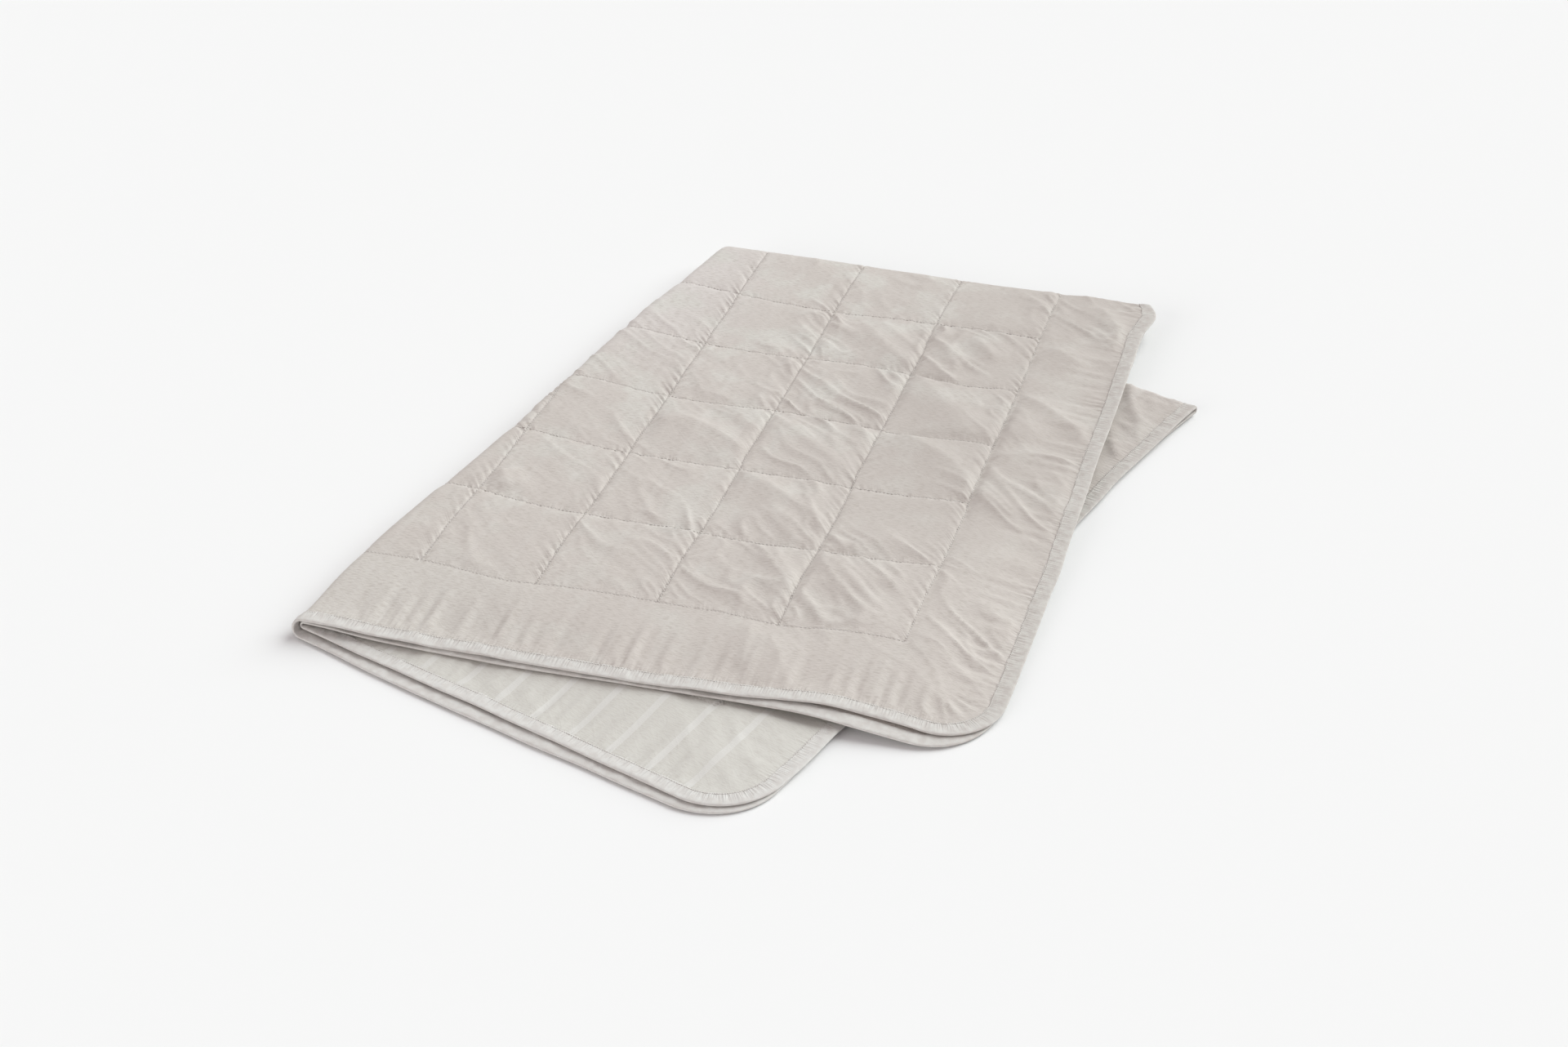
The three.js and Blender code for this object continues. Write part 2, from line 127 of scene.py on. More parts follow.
UNDER_CORNER_REACH = 90.0
CORNER_SHARE = 0.7
CORNER_SIDE_SHARE = 0.3


def smooth(start, end, x):
    """A soft step: nought before start, one after end, and 3k^2 - 2k^3 of the way k between them."""
    k = np.clip((x - start) / (end - start), 0, 1)
    return k * k * (3 - 2 * k)


def hump(middle, reach, x):
    """A bell curve: one at the middle, and exp(-d^2) where d is the distance from it in reaches."""
    return np.exp(-((x - middle) / reach) ** 2)


def hem_distance(s, t):
    """How far a point of the cloth is from the hem: from the nearer side, or from the corner's arc."""
    across = WIDTH / 2 - np.abs(s)
    along = LENGTH / 2 - np.abs(t)
    arc = CORNER_RADIUS - np.hypot(CORNER_RADIUS - across, CORNER_RADIUS - along)
    in_corner = (across < CORNER_RADIUS) & (along < CORNER_RADIUS)
    return np.where(in_corner, arc, np.minimum(across, along))


def layer_pitch(inward, past_fold):
    """The height that one layer takes: the hem's at the rim, a little more by the fold, and the filling's
    inside."""
    rim = HEM_PITCH + HEM_LOOSE_NEAR_FOLD * hump(0, LOOSE_REACH, past_fold)
    return rim + (LAYER_PITCH - rim) * smooth(HEM_FLAT, PITCH_RISE_END, inward)


LATTICE = 128


def soft_noise(u, v, seed):
    """Smooth noise from -1 to 1: random values on a unit lattice, blended with the soft step. Each use has
    a seed of its own."""
    lattice = np.random.default_rng(seed).uniform(-1, 1, (LATTICE, LATTICE))
    i, j = np.floor(u).astype(int), np.floor(v).astype(int)
    a, b = smooth(0, 1, u - i), smooth(0, 1, v - j)
    i, j, next_i, next_j = i % LATTICE, j % LATTICE, (i + 1) % LATTICE, (j + 1) % LATTICE
    low = lattice[i, j] * (1 - a) + lattice[next_i, j] * a
    high = lattice[i, next_j] * (1 - a) + lattice[next_i, next_j] * a
    return low * (1 - b) + high * b


def blots(s, t, size, seed):
    """Soft noise over the flat duvet, with about one blot to each size."""
    return soft_noise(s / size, t / size, seed)


def pulled(s, t):
    """The cloth dragged a little at its corners: each pull moves it by its own share of a bell curve.
    Each hem also wanders in and out on a slow noise."""
    ds = sum(p.across * np.exp(-((s - p.s) ** 2 + (t - p.t) ** 2) / p.reach**2) for p in PULLS)
    dt = sum(p.along * np.exp(-((s - p.s) ** 2 + (t - p.t) ** 2) / p.reach**2) for p in PULLS)
    at_side = hump(0, HEM_WOBBLE_REACH, WIDTH / 2 - np.abs(s))
    at_end = hump(0, HEM_WOBBLE_REACH, LENGTH / 2 - np.abs(t))
    ds += HEM_WOBBLE * soft_noise(t / HEM_WOBBLE_LENGTH, np.sign(s) * HEM_WOBBLE_ROW, seed=40) * at_side
    dt += HEM_WOBBLE * soft_noise(s / HEM_WOBBLE_LENGTH, np.sign(t) * HEM_WOBBLE_ROW, seed=41) * at_end
    return s + ds, t + dt


def folded(s, t):
    """The middle of the cloth once folded. It first goes round a half circle of half a layer's pitch at
    the back crease, then round a wider one at the left crease, and is lifted by the layers under it."""
    inward = hem_distance(s, t)
    flat_s, flat_t = s, t
    s, t = pulled(s, t)
    t = t - BACK_CREASE_T
    cosine, sine = math.cos(BACK_CREASE_TURN), math.sin(BACK_CREASE_TURN)
    across = s * cosine + t * sine
    along = t * cosine - s * sine
    radius = LAYER_PITCH / 2
    bend = math.pi * radius / 2
    side = np.cos(np.clip((along + bend) / radius, 0, math.pi))
    pitch = layer_pitch(inward, FAR_FROM_FOLD)
    reach = pitch / 2 * np.sin(np.clip((along + bend) / radius, 0, math.pi)) - radius
    reach = np.where(along < -bend, along + bend - radius, reach)
    reach = np.where(along > bend, bend - radius - along, reach)
    x = across * cosine - reach * sine
    y = across * sine + reach * cosine + BACK_CREASE_T

    along_crease = LEFT_CREASE_BACK - LEFT_CREASE_FRONT
    along_crease = along_crease / np.linalg.norm(along_crease)
    off_crease = np.array([-along_crease[1], along_crease[0]])
    run = (x - LEFT_CREASE_FRONT[0]) * along_crease[0] + (y - LEFT_CREASE_FRONT[1]) * along_crease[1]
    past = (x - LEFT_CREASE_FRONT[0]) * off_crease[0] + (y - LEFT_CREASE_FRONT[1]) * off_crease[1]
    wave = LEFT_WAVE * np.sin(2 * math.pi * run / LEFT_WAVE_LENGTH + LEFT_WAVE_PHASE)
    wave = wave * smooth(0, LEFT_WAVE_START, run)
    round_fold = past - wave + LEFT_AXIS_INSET
    pitch = layer_pitch(inward, round_fold)
    radius = pitch * (1 + side / 2)
    roll = LAYER_PITCH * (1 - along / LENGTH)
    angle = np.clip(round_fold / roll, 0, math.pi)
    bent = wave - LEFT_AXIS_INSET + radius * np.sin(angle)
    bent = np.where(round_fold < 0, past, bent)
    bent = np.where(angle >= math.pi, wave - LEFT_AXIS_INSET - (round_fold - math.pi * roll), bent)
    x = LEFT_CREASE_FRONT[0] + along_crease[0] * run + off_crease[0] * bent
    y = LEFT_CREASE_FRONT[1] + along_crease[1] * run + off_crease[1] * bent

    on_top = smooth(0, LEFT_LIFT_BLEND, -round_fold)
    front, back = (mirrored_at_left(np.array([-WIDTH / 2, end])) for end in (-LENGTH / 2, 0.0))
    edge = (back - front) / np.linalg.norm(back - front)
    over_right = (front[0] - x) * edge[1] - (front[1] - y) * edge[0]
    over_front = (x - front[0]) * edge[0] + (y - front[1]) * edge[1]
    over_back = (back[0] - x) * edge[0] + (back[1] - y) * edge[1]
    under = layer_pitch(over_front, round_fold)
    under = under * smooth(*DROP_RIGHT, over_right) * smooth(*DROP_BACK, over_back)
    lift = 2 * (pitch * (1 - on_top) + under * on_top)
    z = np.where(round_fold < 0, lift + pitch + side * pitch / 2, 2 * pitch + radius * np.cos(angle))
    lifting = blots(flat_s, flat_t, TOP_HEM_LIFT_LENGTH, seed=42)
    top_hem = np.maximum(lifting + TOP_HEM_LIFT_BIAS, 0) * hump(0, TOP_HEM_LIFT_REACH, inward)
    top_hem = TOP_HEM_LIFT * top_hem * smooth(0, TOP_HEM_LIFT_BLEND, -round_fold)
    from_back_corner = (flat_s - WIDTH / 2) ** 2 + flat_t**2
    from_under_corner = (flat_s + WIDTH / 2) ** 2 + flat_t**2
    back_corner = BACK_CORNER_LIFT * np.exp(-from_back_corner / BACK_CORNER_REACH**2)
    under_corner = UNDER_CORNER_LIFT * np.exp(-from_under_corner / UNDER_CORNER_REACH**2)
    z = z + top_hem * (1 + side) / 2
    z = z + back_corner * (CORNER_SHARE + CORNER_SIDE_SHARE * side)
    z = z + under_corner * (CORNER_SHARE - CORNER_SIDE_SHARE * side)
    return x - PACKET_MIDDLE[0], y - PACKET_MIDDLE[1], z


def mirrored_at_left(point):
    """A point of the plan seen in the left crease: moved by twice its distance across it."""
    along = LEFT_CREASE_BACK - LEFT_CREASE_FRONT
    across = np.array([-along[1], along[0]]) / np.linalg.norm(along)
    return point - 2 * np.dot(point - LEFT_CREASE_FRONT, across) * across


def on_cloth(s, t, height):
    """Points at a height over the middle of the folded cloth, along its normal: the cross product of
    its slopes across and along, each taken over a short step."""
    middle = np.stack(folded(s, t), -1)
    across = np.stack(folded(s + SLOPE_STEP, t), -1) - np.stack(folded(s - SLOPE_STEP, t), -1)
    along = np.stack(folded(s, t + SLOPE_STEP), -1) - np.stack(folded(s, t - SLOPE_STEP), -1)
    normal = np.cross(across, along)
    normal = normal / np.linalg.norm(normal, axis=-1, keepdims=True)
    return middle + normal * np.asarray(height)[..., None]


Sag = namedtuple("Sag", "seam s shift")
SAG_REACH = (50.0, 60.0)
SAGS = (
    Sag(-144, 275, -6), Sag(-288, 330, 5), Sag(-288, 470, -11), Sag(-432, 275, 4),
    Sag(-432, 440, -9), Sag(-576, 550, 7), Sag(-720, 344, -5), Sag(-720, 550, 9),
    Sag(-864, 100, -8), Sag(-864, 412, -7),
)
FOLD_DRAG = 22.0
FOLD_DRAG_REACH = 105.0
FOLD_DRAG_END = (-880.0, -640.0)
FOLD_DRAG_START = (0.0, -60.0)
BACK_DRAG = 9.0
BACK_DRAG_REACH = 40.0
SEAM_WANDER = 1.6
SEAM_WANDER_LENGTH = 60.0
SEAM_WANDER_SPREAD = 400.0
SETTLING_ROUNDS = 10


def seam_shift(s, t):
    """How far the quilting has strayed from its straight lines, across and along: noise, the sags of
    single seams as bell curves, and the drag of the left fold, which draws the rows back near it. The
    back fold takes the row beside it round to its under side."""
    across = SEAM_WANDER * soft_noise(t / SEAM_WANDER_LENGTH, s / SEAM_WANDER_SPREAD, seed=1)
    along = SEAM_WANDER * soft_noise(s / SEAM_WANDER_LENGTH, t / SEAM_WANDER_SPREAD, seed=2)
    held = smooth(TAPE_WIDTH, BORDER_RISE_END, hem_distance(s, t))
    for sag in SAGS:
        along = along + sag.shift * hump(sag.s, SAG_REACH[0], s) * hump(sag.seam, SAG_REACH[1], t)
    fold = LEFT_CREASE_BACK[0] + t / LENGTH * 2 * (LEFT_CREASE_BACK[0] - LEFT_CREASE_FRONT[0])
    drag = FOLD_DRAG * hump(fold, FOLD_DRAG_REACH, s) * smooth(*FOLD_DRAG_END, t)
    drag = drag * smooth(*FOLD_DRAG_START, t)
    drag += BACK_DRAG * hump(0, BACK_DRAG_REACH, t)
    return across * held, (along + drag) * held


def on_quilt(s, t):
    """The place of a point in the straight quilting: the cloth's place less the seams' shift."""
    across, along = seam_shift(s, t)
    return s - across, t - along


def off_quilt(quilt_s, quilt_t):
    """The cloth's place of a point of the straight quilting: the shift is added, worked out at the place
    found so far, and a few rounds of that settle it."""
    s, t = quilt_s, quilt_t
    for _ in range(SETTLING_ROUNDS):
        across, along = seam_shift(s, t)
        s, t = quilt_s + across, quilt_t + along
    return s, t


def thickness(s, t):
    """Seam to crown and back in each square, as 1 - (2f - 1)^n of the way f over it both ways. Across, n is
    higher and the seam less deep, so the filling stands up close beside it. Along, the crown lies nearer
    to the back, by a factor 1 + a (2f - 1). Round the quilting it goes down to the hem's thickness by a
    soft step, with the same swell at the seam."""
    cut = hem_distance(s, t)
    s, t = on_quilt(s, t)
    half_width = CELLS_ACROSS * CELL_WIDTH / 2
    half_length = CELLS_ALONG * CELL_LENGTH / 2
    across = 1 - DEPTH_ACROSS * (2 * ((s + half_width) / CELL_WIDTH % 1) - 1) ** SQUARENESS_ACROSS
    way = 2 * ((t + half_length) / CELL_LENGTH % 1) - 1
    along = (1 - way**SQUARENESS_ALONG) * (1 + BACK_LEAN * way)
    beside = np.hypot(np.maximum(np.abs(s) - half_width, 0), np.maximum(np.abs(t) - half_length, 0))
    border = 1 - (1 - np.clip(2 * beside / CELL_WIDTH, 0, 1)) ** SQUARENESS_ALONG
    squares = (CROWN_THICKNESS - SEAM_THICKNESS) * across * along
    inside = SEAM_THICKNESS + np.where(beside > 0, (BORDER_CROWN - SEAM_THICKNESS) * border, squares)
    return HEM_THICKNESS + (inside - HEM_THICKNESS) * smooth(HEM_FLAT, BORDER_RISE_END, cut)


BACK_SIDE = 2.4
FRONT_SIDE = 4.2
CREST_POINT = 1.1
CREASE_GAIN = 5.0
CREASE_FADE_IN = (-0.2, 0.25)
CREASE_FADE_OUT = (1.2, 0.75)
Crease = namedtuple("Crease", "s0 t0 s1 t1 width height bow")
CREASES = (
    Crease(421, -295, 521, -414, 9, 2.2, 0),
    Crease(440, -445, 515, -495, 6, 1.6, 3),
    Crease(515, -495, 596, -576, 6, 1.6, -3),
    Crease(552, -464, 646, -440, 5, 1.2, 9),
    Crease(552, -357, 596, -395, 9, 1.5, 0),
    Crease(562, -301, 659, -382, 5, 1.3, 3),
    Crease(609, -36, 659, -139, 5, 1.3, 4),
    Crease(571, -170, 615, -200, 8, 1.2, 0),
    Crease(290, -457, 390, -539, 6, 1.4, 2),
    Crease(377, -445, 412, -470, 5, 0.9, 0),
    Crease(277, -582, 409, -667, 6, 1.5, 3),
    Crease(146, -495, 202, -489, 6, 1.3, 6),
    Crease(202, -489, 271, -539, 6, 1.4, 2),
    Crease(327, -182, 409, -270, 6, 1.4, -3),
    Crease(345, -165, 405, -225, 5, 0.8, 0),
    Crease(434, -201, 462, -257, 5, 1.1, 0),
    Crease(471, -176, 505, -220, 5, 1.0, 0),
    Crease(9, -657, 34, -695, 6, 1.2, 0),
    Crease(359, -732, 409, -801, 6, 1.2, 2),
    Crease(440, -732, 477, -782, 9, 1.1, 0),
    Crease(384, -876, 396, -951, 6, 1.0, 0),
    Crease(409, -895, 446, -970, 6, 1.0, 3),
    Crease(-300, 700, -380, 860, 9, 0.9, 5),
    Crease(-420, 760, -520, 900, 8, 0.7, -5),
)


def crease_relief(s, t):
    """The listed creases: each a ridge with its steeper side to the back and a long gentle one
    to the front, as exp(-(d / reach)^p) of the distance d, bowed sideways and fading out at its ends."""
    relief = np.zeros_like(s)
    for c in CREASES:
        length = math.hypot(c.s1 - c.s0, c.t1 - c.t0)
        us, ut = (c.s1 - c.s0) / length, (c.t1 - c.t0) / length
        way = ((s - c.s0) * us + (t - c.t0) * ut) / length
        off = (t - c.t0) * us - (s - c.s0) * ut - c.bow * (1 - (2 * way - 1) ** 2)
        fade = smooth(*CREASE_FADE_IN, way) * smooth(*CREASE_FADE_OUT, way)
        reach = np.where(off > 0, BACK_SIDE, FRONT_SIDE) * c.width
        relief += CREASE_GAIN * c.height * fade * np.exp(-(np.abs(off) / reach) ** CREST_POINT)
    return relief


CRUMPLE_WAY = math.radians(-42)
CRUMPLE_LONG = 125.0
CRUMPLE_SHORT = 30.0
CRUMPLE_HEIGHT = 4.9
CRUMPLE_LEAN = 3.0
CRUMPLE_BEND = 0.35
CRUMPLE_BEND_LENGTH = 60.0
RIDGE_WIDTH = 0.2
FINE_RIDGE = 0.45
FINE_RIDGE_WIDTH = 0.22
FINE_RIDGE_SCALE = (2.3, 2.1)
CRUMPLE_PATCH_LENGTH = 90.0
CRUMPLE_PATCH_EDGE = (-0.5, 0.4)
MIDDLE_STRENGTH = 0.38
STRONGER_FROM = (100.0, 420.0)
CALM_BY_FRONT = 0.6
FRONT_CALM = (-840.0, -900.0)
CALM_ON_THIRD = 0.7
THIRD_CALM = (380.0, 560.0)


def crumples(s, t):
    """Ridges where a stretched noise crosses nought, with lesser ones between them."""
    along = (s * math.cos(CRUMPLE_WAY) + t * math.sin(CRUMPLE_WAY)) / CRUMPLE_LONG
    across = (t * math.cos(CRUMPLE_WAY) - s * math.sin(CRUMPLE_WAY)) / CRUMPLE_SHORT
    across += CRUMPLE_BEND * blots(s, t, CRUMPLE_BEND_LENGTH, seed=3)
    ridge = np.exp(-(np.abs(soft_noise(along, across, seed=4)) / RIDGE_WIDTH) ** CREST_POINT)
    finer = soft_noise(along * FINE_RIDGE_SCALE[0], across * FINE_RIDGE_SCALE[1], seed=5)
    return ridge + FINE_RIDGE * np.exp(-(np.abs(finer) / FINE_RIDGE_WIDTH) ** CREST_POINT)


def crumple_relief(s, t):
    """The lesser creases that run slantwise over the squares, in patches, and stronger towards the sides,
    where the cloth has been handled. They lean to the back: each is moved by its own height."""
    leaning = crumples(s, t - CRUMPLE_LEAN * crumples(s, t))
    patch = smooth(*CRUMPLE_PATCH_EDGE, blots(s, t, CRUMPLE_PATCH_LENGTH, seed=6))
    strength = MIDDLE_STRENGTH + (1 - MIDDLE_STRENGTH) * smooth(*STRONGER_FROM, np.abs(s))
    strength *= 1 - CALM_BY_FRONT * smooth(*FRONT_CALM, t)
    strength *= 1 - CALM_ON_THIRD * smooth(*THIRD_CALM, t)
    return CRUMPLE_HEIGHT * strength * patch * leaning


PUCKER_HEIGHT = 1.7
PUCKER_PITCH = 4.8
PUCKER_REACH = 11.0
PUCKER_SLANT = 1.1
PUCKER_FADE = 1.5
PUCKER_VARIES = 0.6
PUCKER_VARIES_LENGTH = 40.0
ROW_PUCKER = 0.5
ROW_PUCKER_REACH = 0.7
ROW_PUCKER_SLANT = 0.3
REACH_LANE = 7.3
COLUMN_LANE = 5.1
ROW_LANE = 4.7
SEAM_EDGE = 1.5
SEAM_END_FADE = 4.0
GROOVE_DEPTH = 0.68
GROOVE_PLACE = -1.0
GROOVE_WIDTH = (2.2, 1.1)
ROW_GROOVE = 0.2


def seams_near(s, t):
    """For the straight quilting: the number of the nearest seam each way, how far past it a point is, and
    one where that seam runs and nought past its end."""
    half_width = CELLS_ACROSS * CELL_WIDTH / 2
    half_length = CELLS_ALONG * CELL_LENGTH / 2
    column = np.clip(np.round((s + half_width) / CELL_WIDTH), 0, CELLS_ACROSS)
    row = np.clip(np.round((t + half_length) / CELL_LENGTH), 0, CELLS_ALONG)
    past_column = s - column * CELL_WIDTH + half_width
    past_row = t - row * CELL_LENGTH + half_length
    column_runs = smooth(half_length + SEAM_END_FADE, half_length, np.abs(t))
    row_runs = smooth(half_width + SEAM_END_FADE, half_width, np.abs(s))
    return (column, past_column, column_runs), (row, past_row, row_runs)


def groove(past):
    """The groove that a seam's stitches pull: a bell curve with a wide side before it and a narrow one
    after it."""
    width = np.where(past < GROOVE_PLACE, *GROOVE_WIDTH)
    return np.exp(-((past - GROOVE_PLACE) / width) ** 2)


def pucker_relief(s, t):
    """The gathers that each seam draws up beside it: noise along the seam, carried away from it on a
    slant and fading with the distance. Each seam has a lane of the noise to itself. They are longest
    beside the seams that run along the duvet. The grooves of the seams are taken off."""
    (column, past_column, column_runs), (row, past_row, row_runs) = seams_near(s, t)
    from_column, from_row = np.abs(past_column), np.abs(past_row)
    reach = soft_noise(t / PUCKER_VARIES_LENGTH, column * REACH_LANE, seed=7)
    reach = PUCKER_REACH * (1 + PUCKER_VARIES * reach)
    run = (t - PUCKER_SLANT * from_column) / PUCKER_PITCH
    beside_column = soft_noise(run, column * COLUMN_LANE + 0.5, seed=8)
    beside_column *= np.exp(-(from_column / reach) ** PUCKER_FADE) * smooth(0, SEAM_EDGE, from_column)
    reach = ROW_PUCKER_REACH * PUCKER_REACH
    run = (s + ROW_PUCKER_SLANT * from_row) / PUCKER_PITCH
    beside_row = soft_noise(run, row * ROW_LANE + 0.5, seed=9)
    beside_row *= np.exp(-(from_row / reach) ** PUCKER_FADE) * smooth(0, SEAM_EDGE, from_row)
    grooves = np.maximum(groove(past_column) * column_runs, ROW_GROOVE * groove(past_row) * row_runs)
    beside = beside_column * column_runs + ROW_PUCKER * beside_row * row_runs
    return PUCKER_HEIGHT * beside - GROOVE_DEPTH * grooves


GATHER_HEIGHT = 1.5
GATHER_PITCH = 3.4
GATHER_REACH = 13.0
GATHER_PATCH = (0.8, 0.5)
GATHER_PATCH_LENGTH = 38.0
GATHER_SPREAD = 60.0
GATHER_SIDE_SHARE = 0.55
STREAK_HEIGHT = 1.8
STREAK_PITCH = 9.0
STREAK_SPREAD = 180.0
STREAK_SIDE_SHARE = 0.35
STREAK_START = 20.0
STREAK_END = (120.0, 40.0)
HANDLED_SIDE = (560.0, 650.0)
HANDLED_GATHER = 0.45
HANDLED_STREAK = 0.4
DIAGONAL_INSET = (45.0, 75.0)
DIAGONAL_REACH = 50.0
TAPE_BLEND = 2.0


def along_hem(s, t):
    """How far along the hem its nearest point is, from the middle of the end that is folded under:
    straight along the sides and ends, and radius times angle round the corners. Also given is how much
    that point is on an end, from nought to one."""
    past_s = np.abs(s) - (WIDTH / 2 - CORNER_RADIUS)
    past_t = np.abs(t) - (LENGTH / 2 - CORNER_RADIUS)
    nearer_end = past_t > past_s
    angle = np.arctan2(np.maximum(past_t, 0), np.maximum(past_s, 0))
    angle = np.where(nearer_end & (past_s <= 0), math.pi / 2, angle)
    straight = LENGTH / 2 - CORNER_RADIUS
    beside_end = straight + np.maximum(-past_s, 0)
    from_side = np.where(nearer_end, beside_end, np.minimum(np.abs(t), straight))
    from_side = from_side + CORNER_RADIUS * angle
    quarter = (LENGTH + WIDTH) / 2 - 2 * CORNER_RADIUS + CORNER_RADIUS * math.pi / 2
    run = np.where(s < 0, quarter, 3 * quarter) + np.where(s * t < 0, -from_side, from_side)
    return run, angle / (math.pi / 2)


def gather_relief(s, t):
    """The gathers that the tape draws up along the hem: short ones close together, and long soft
    streaks, all square to the hem. The noise runs with the distance along the hem. Both are weaker at
    the left side, and the streaks fade at the diagonal where an end's and a side's would meet."""
    cut = hem_distance(s, t)
    run, at_end = along_hem(s, t)
    handled = smooth(*HANDLED_SIDE, s) * (1 - at_end)
    patch = GATHER_PATCH[0] + GATHER_PATCH[1] * soft_noise(run / GATHER_PATCH_LENGTH, 0 * run, seed=10)
    share = GATHER_SIDE_SHARE + (1 - GATHER_SIDE_SHARE) * at_end + HANDLED_GATHER * handled
    short = soft_noise(run / GATHER_PITCH, cut / GATHER_SPREAD, seed=11) * patch * share
    short *= smooth(TAPE_WIDTH - TAPE_BLEND, TAPE_WIDTH + TAPE_BLEND, cut)
    short *= np.exp(-np.maximum(cut - TAPE_WIDTH, 0) / GATHER_REACH)
    share = STREAK_SIDE_SHARE + (1 - STREAK_SIDE_SHARE) * at_end + HANDLED_STREAK * handled
    streak = soft_noise(run / STREAK_PITCH, cut / STREAK_SPREAD, seed=12) * share
    streak *= smooth(TAPE_WIDTH, TAPE_WIDTH + STREAK_START, cut) * smooth(*STREAK_END, cut)
    off_diagonal = np.abs(np.abs(s) - WIDTH / 2 - np.abs(t) + LENGTH / 2)
    streak *= 1 - smooth(*DIAGONAL_INSET, cut) * smooth(DIAGONAL_REACH, 0, off_diagonal)
    return GATHER_HEIGHT * short + STREAK_HEIGHT * streak


WAVE_HEIGHT = 0.9
WAVE_LENGTH = 120.0
LESSER_WAVE = 0.5
LESSER_WAVE_LENGTH = 48.0
THIRD_SHOWS_RIGHT = (640.0, 690.0)
THIRD_SHOWS_FRONT = (-960.0, -1010.0)
OPEN_LEFT = (0.0, -80.0)
OPEN_BACK = (4.0, -8.0)
OPEN_THIRD = (4.0, 20.0)
RELIEF_LIMIT = 8.0
COLUMN_HOLD = 7.0
ROW_HOLD = (4.5, 12.0)
SEAM_HOLD = 0.75
RELIEF_START = 14.0
LEAST_THICKNESS = 0.5
RESTING_MARGIN = 22.0
RESTING_GAP = 0.1


def wave_relief(s, t):
    """The slow rise and fall of the filling: two octaves of soft noise."""
    lesser = LESSER_WAVE * blots(s, t, LESSER_WAVE_LENGTH, seed=14)
    return WAVE_HEIGHT * (blots(s, t, WAVE_LENGTH, seed=13) + lesser)


def openness(s, t):
    """One where a layer's face lies open to the air, and nought where it lies against the next layer: the
    top layer is open, and so is the part of the third that shows past it."""
    x, y, _ = folded(s, t)
    past_right = smooth(*THIRD_SHOWS_RIGHT, x + PACKET_MIDDLE[0])
    past_front = smooth(*THIRD_SHOWS_FRONT, y + PACKET_MIDDLE[1])
    left_of_fold = smooth(*OPEN_LEFT, s)
    top = (1 - left_of_fold) * smooth(*OPEN_BACK, t)
    third = left_of_fold * smooth(*OPEN_THIRD, t) * np.maximum(past_right, past_front)
    return np.maximum(top, third)


def resting_half(s, t):
    """Half of the thickness where a face lies against the next layer: no more than half of the layer's
    height a little nearer to the hem, less a narrow gap."""
    room = layer_pitch(hem_distance(s, t) - RESTING_MARGIN, FAR_FROM_FOLD) / 2 - RESTING_GAP
    return np.minimum(thickness(s, t) / 2, room)


def face_height(s, t):
    """The outer face over the middle of the cloth: half the thickness, and the relief where it is open.
    The creases and waves never rise past a soft limit, the hyperbolic tangent of their sum, and are held
    down at the seams, and all but the gathers at the tape. The face stays clear of the other one."""
    cut = hem_distance(s, t)
    quilt_s, quilt_t = on_quilt(s, t)
    (_, past_column, column_runs), (_, past_row, row_runs) = seams_near(quilt_s, quilt_t)
    row_hold = hump(0, np.where(past_row < 0, *ROW_HOLD), past_row)
    held = np.maximum(hump(0, COLUMN_HOLD, past_column) * column_runs, row_hold * row_runs)
    relief = crease_relief(s, t) + crumple_relief(s, t) + wave_relief(s, t)
    relief = RELIEF_LIMIT * np.tanh(relief / RELIEF_LIMIT) * (1 - SEAM_HOLD * held)
    relief += pucker_relief(quilt_s, quilt_t)
    relief *= smooth(TAPE_WIDTH - TAPE_BLEND, TAPE_WIDTH + RELIEF_START, cut)
    relief += gather_relief(s, t)
    half = thickness(s, t) / 2
    resting = np.where(t > BACK_CREASE_T, resting_half(s, t), half)
    face = resting + (half + relief - resting) * openness(s, t)
    return np.maximum(face, LEAST_THICKNESS - half)


SEAM_CLOSENESS = 0.5


def cell_lines(start, end, steps):
    """Grid lines over one square, closer together at its seams: start + (end - start) (u - c sin(2 pi u) /
    2 pi) for even steps u. The end is left out, since the next square starts there."""
    u = np.arange(steps) / steps
    return start + (end - start) * (u - SEAM_CLOSENESS * np.sin(2 * math.pi * u) / (2 * math.pi))


def border_lines(start, end, steps):
    """Even grid lines over a border, without its end."""
    return start + (end - start) * np.arange(steps) / steps


def grid_lines(ends, rim, steps):
    """All the grid lines one way: over the border before the squares, each square, and the last border."""
    squares = [cell_lines(*span) for span in zip(ends[:-1], ends[1:], steps[1:-1])]
    before = border_lines(-rim, ends[0], steps[0])
    return np.concatenate((before, *squares, border_lines(ends[-1], rim, steps[-1]), [rim]))


RIM_INSET = 1.4
RIM_HALF = 0.8
RIM_SLACK = 0.1
INNER_STEP = 3


def on_both(grid):
    """The values of the outer face's grid, and after them those of the inner face's coarser one."""
    return np.concatenate((grid.ravel(), grid[::INNER_STEP, ::INNER_STEP].ravel()))


def drawn_corner(s, t):
    """The square grid drawn in at its corners to the rounded outline: with a and b as the shares of the
    corner's radius past its centre both ways, a goes to a times the root of 1 - b^2 / 2, and b likewise."""
    radius = CORNER_RADIUS - RIM_INSET
    centre_s, centre_t = WIDTH / 2 - CORNER_RADIUS, LENGTH / 2 - CORNER_RADIUS
    a = np.clip((np.abs(s) - centre_s) / radius, 0, 1)
    b = np.clip((np.abs(t) - centre_t) / radius, 0, 1)
    drawn_s = np.sign(s) * (centre_s + radius * a * np.sqrt(1 - b * b / 2))
    drawn_t = np.sign(t) * (centre_t + radius * b * np.sqrt(1 - a * a / 2))
    return np.where(a > 0, drawn_s, s), np.where(b > 0, drawn_t, t)


def grid_faces(rows, columns, first=0):
    """The four-cornered faces of a grid of vertices that is stored row by row."""
    number = first + np.arange(rows * columns).reshape(rows, columns)
    return np.stack((number[:-1, :-1], number[1:, :-1], number[1:, 1:], number[:-1, 1:]), -1).reshape(-1, 4)


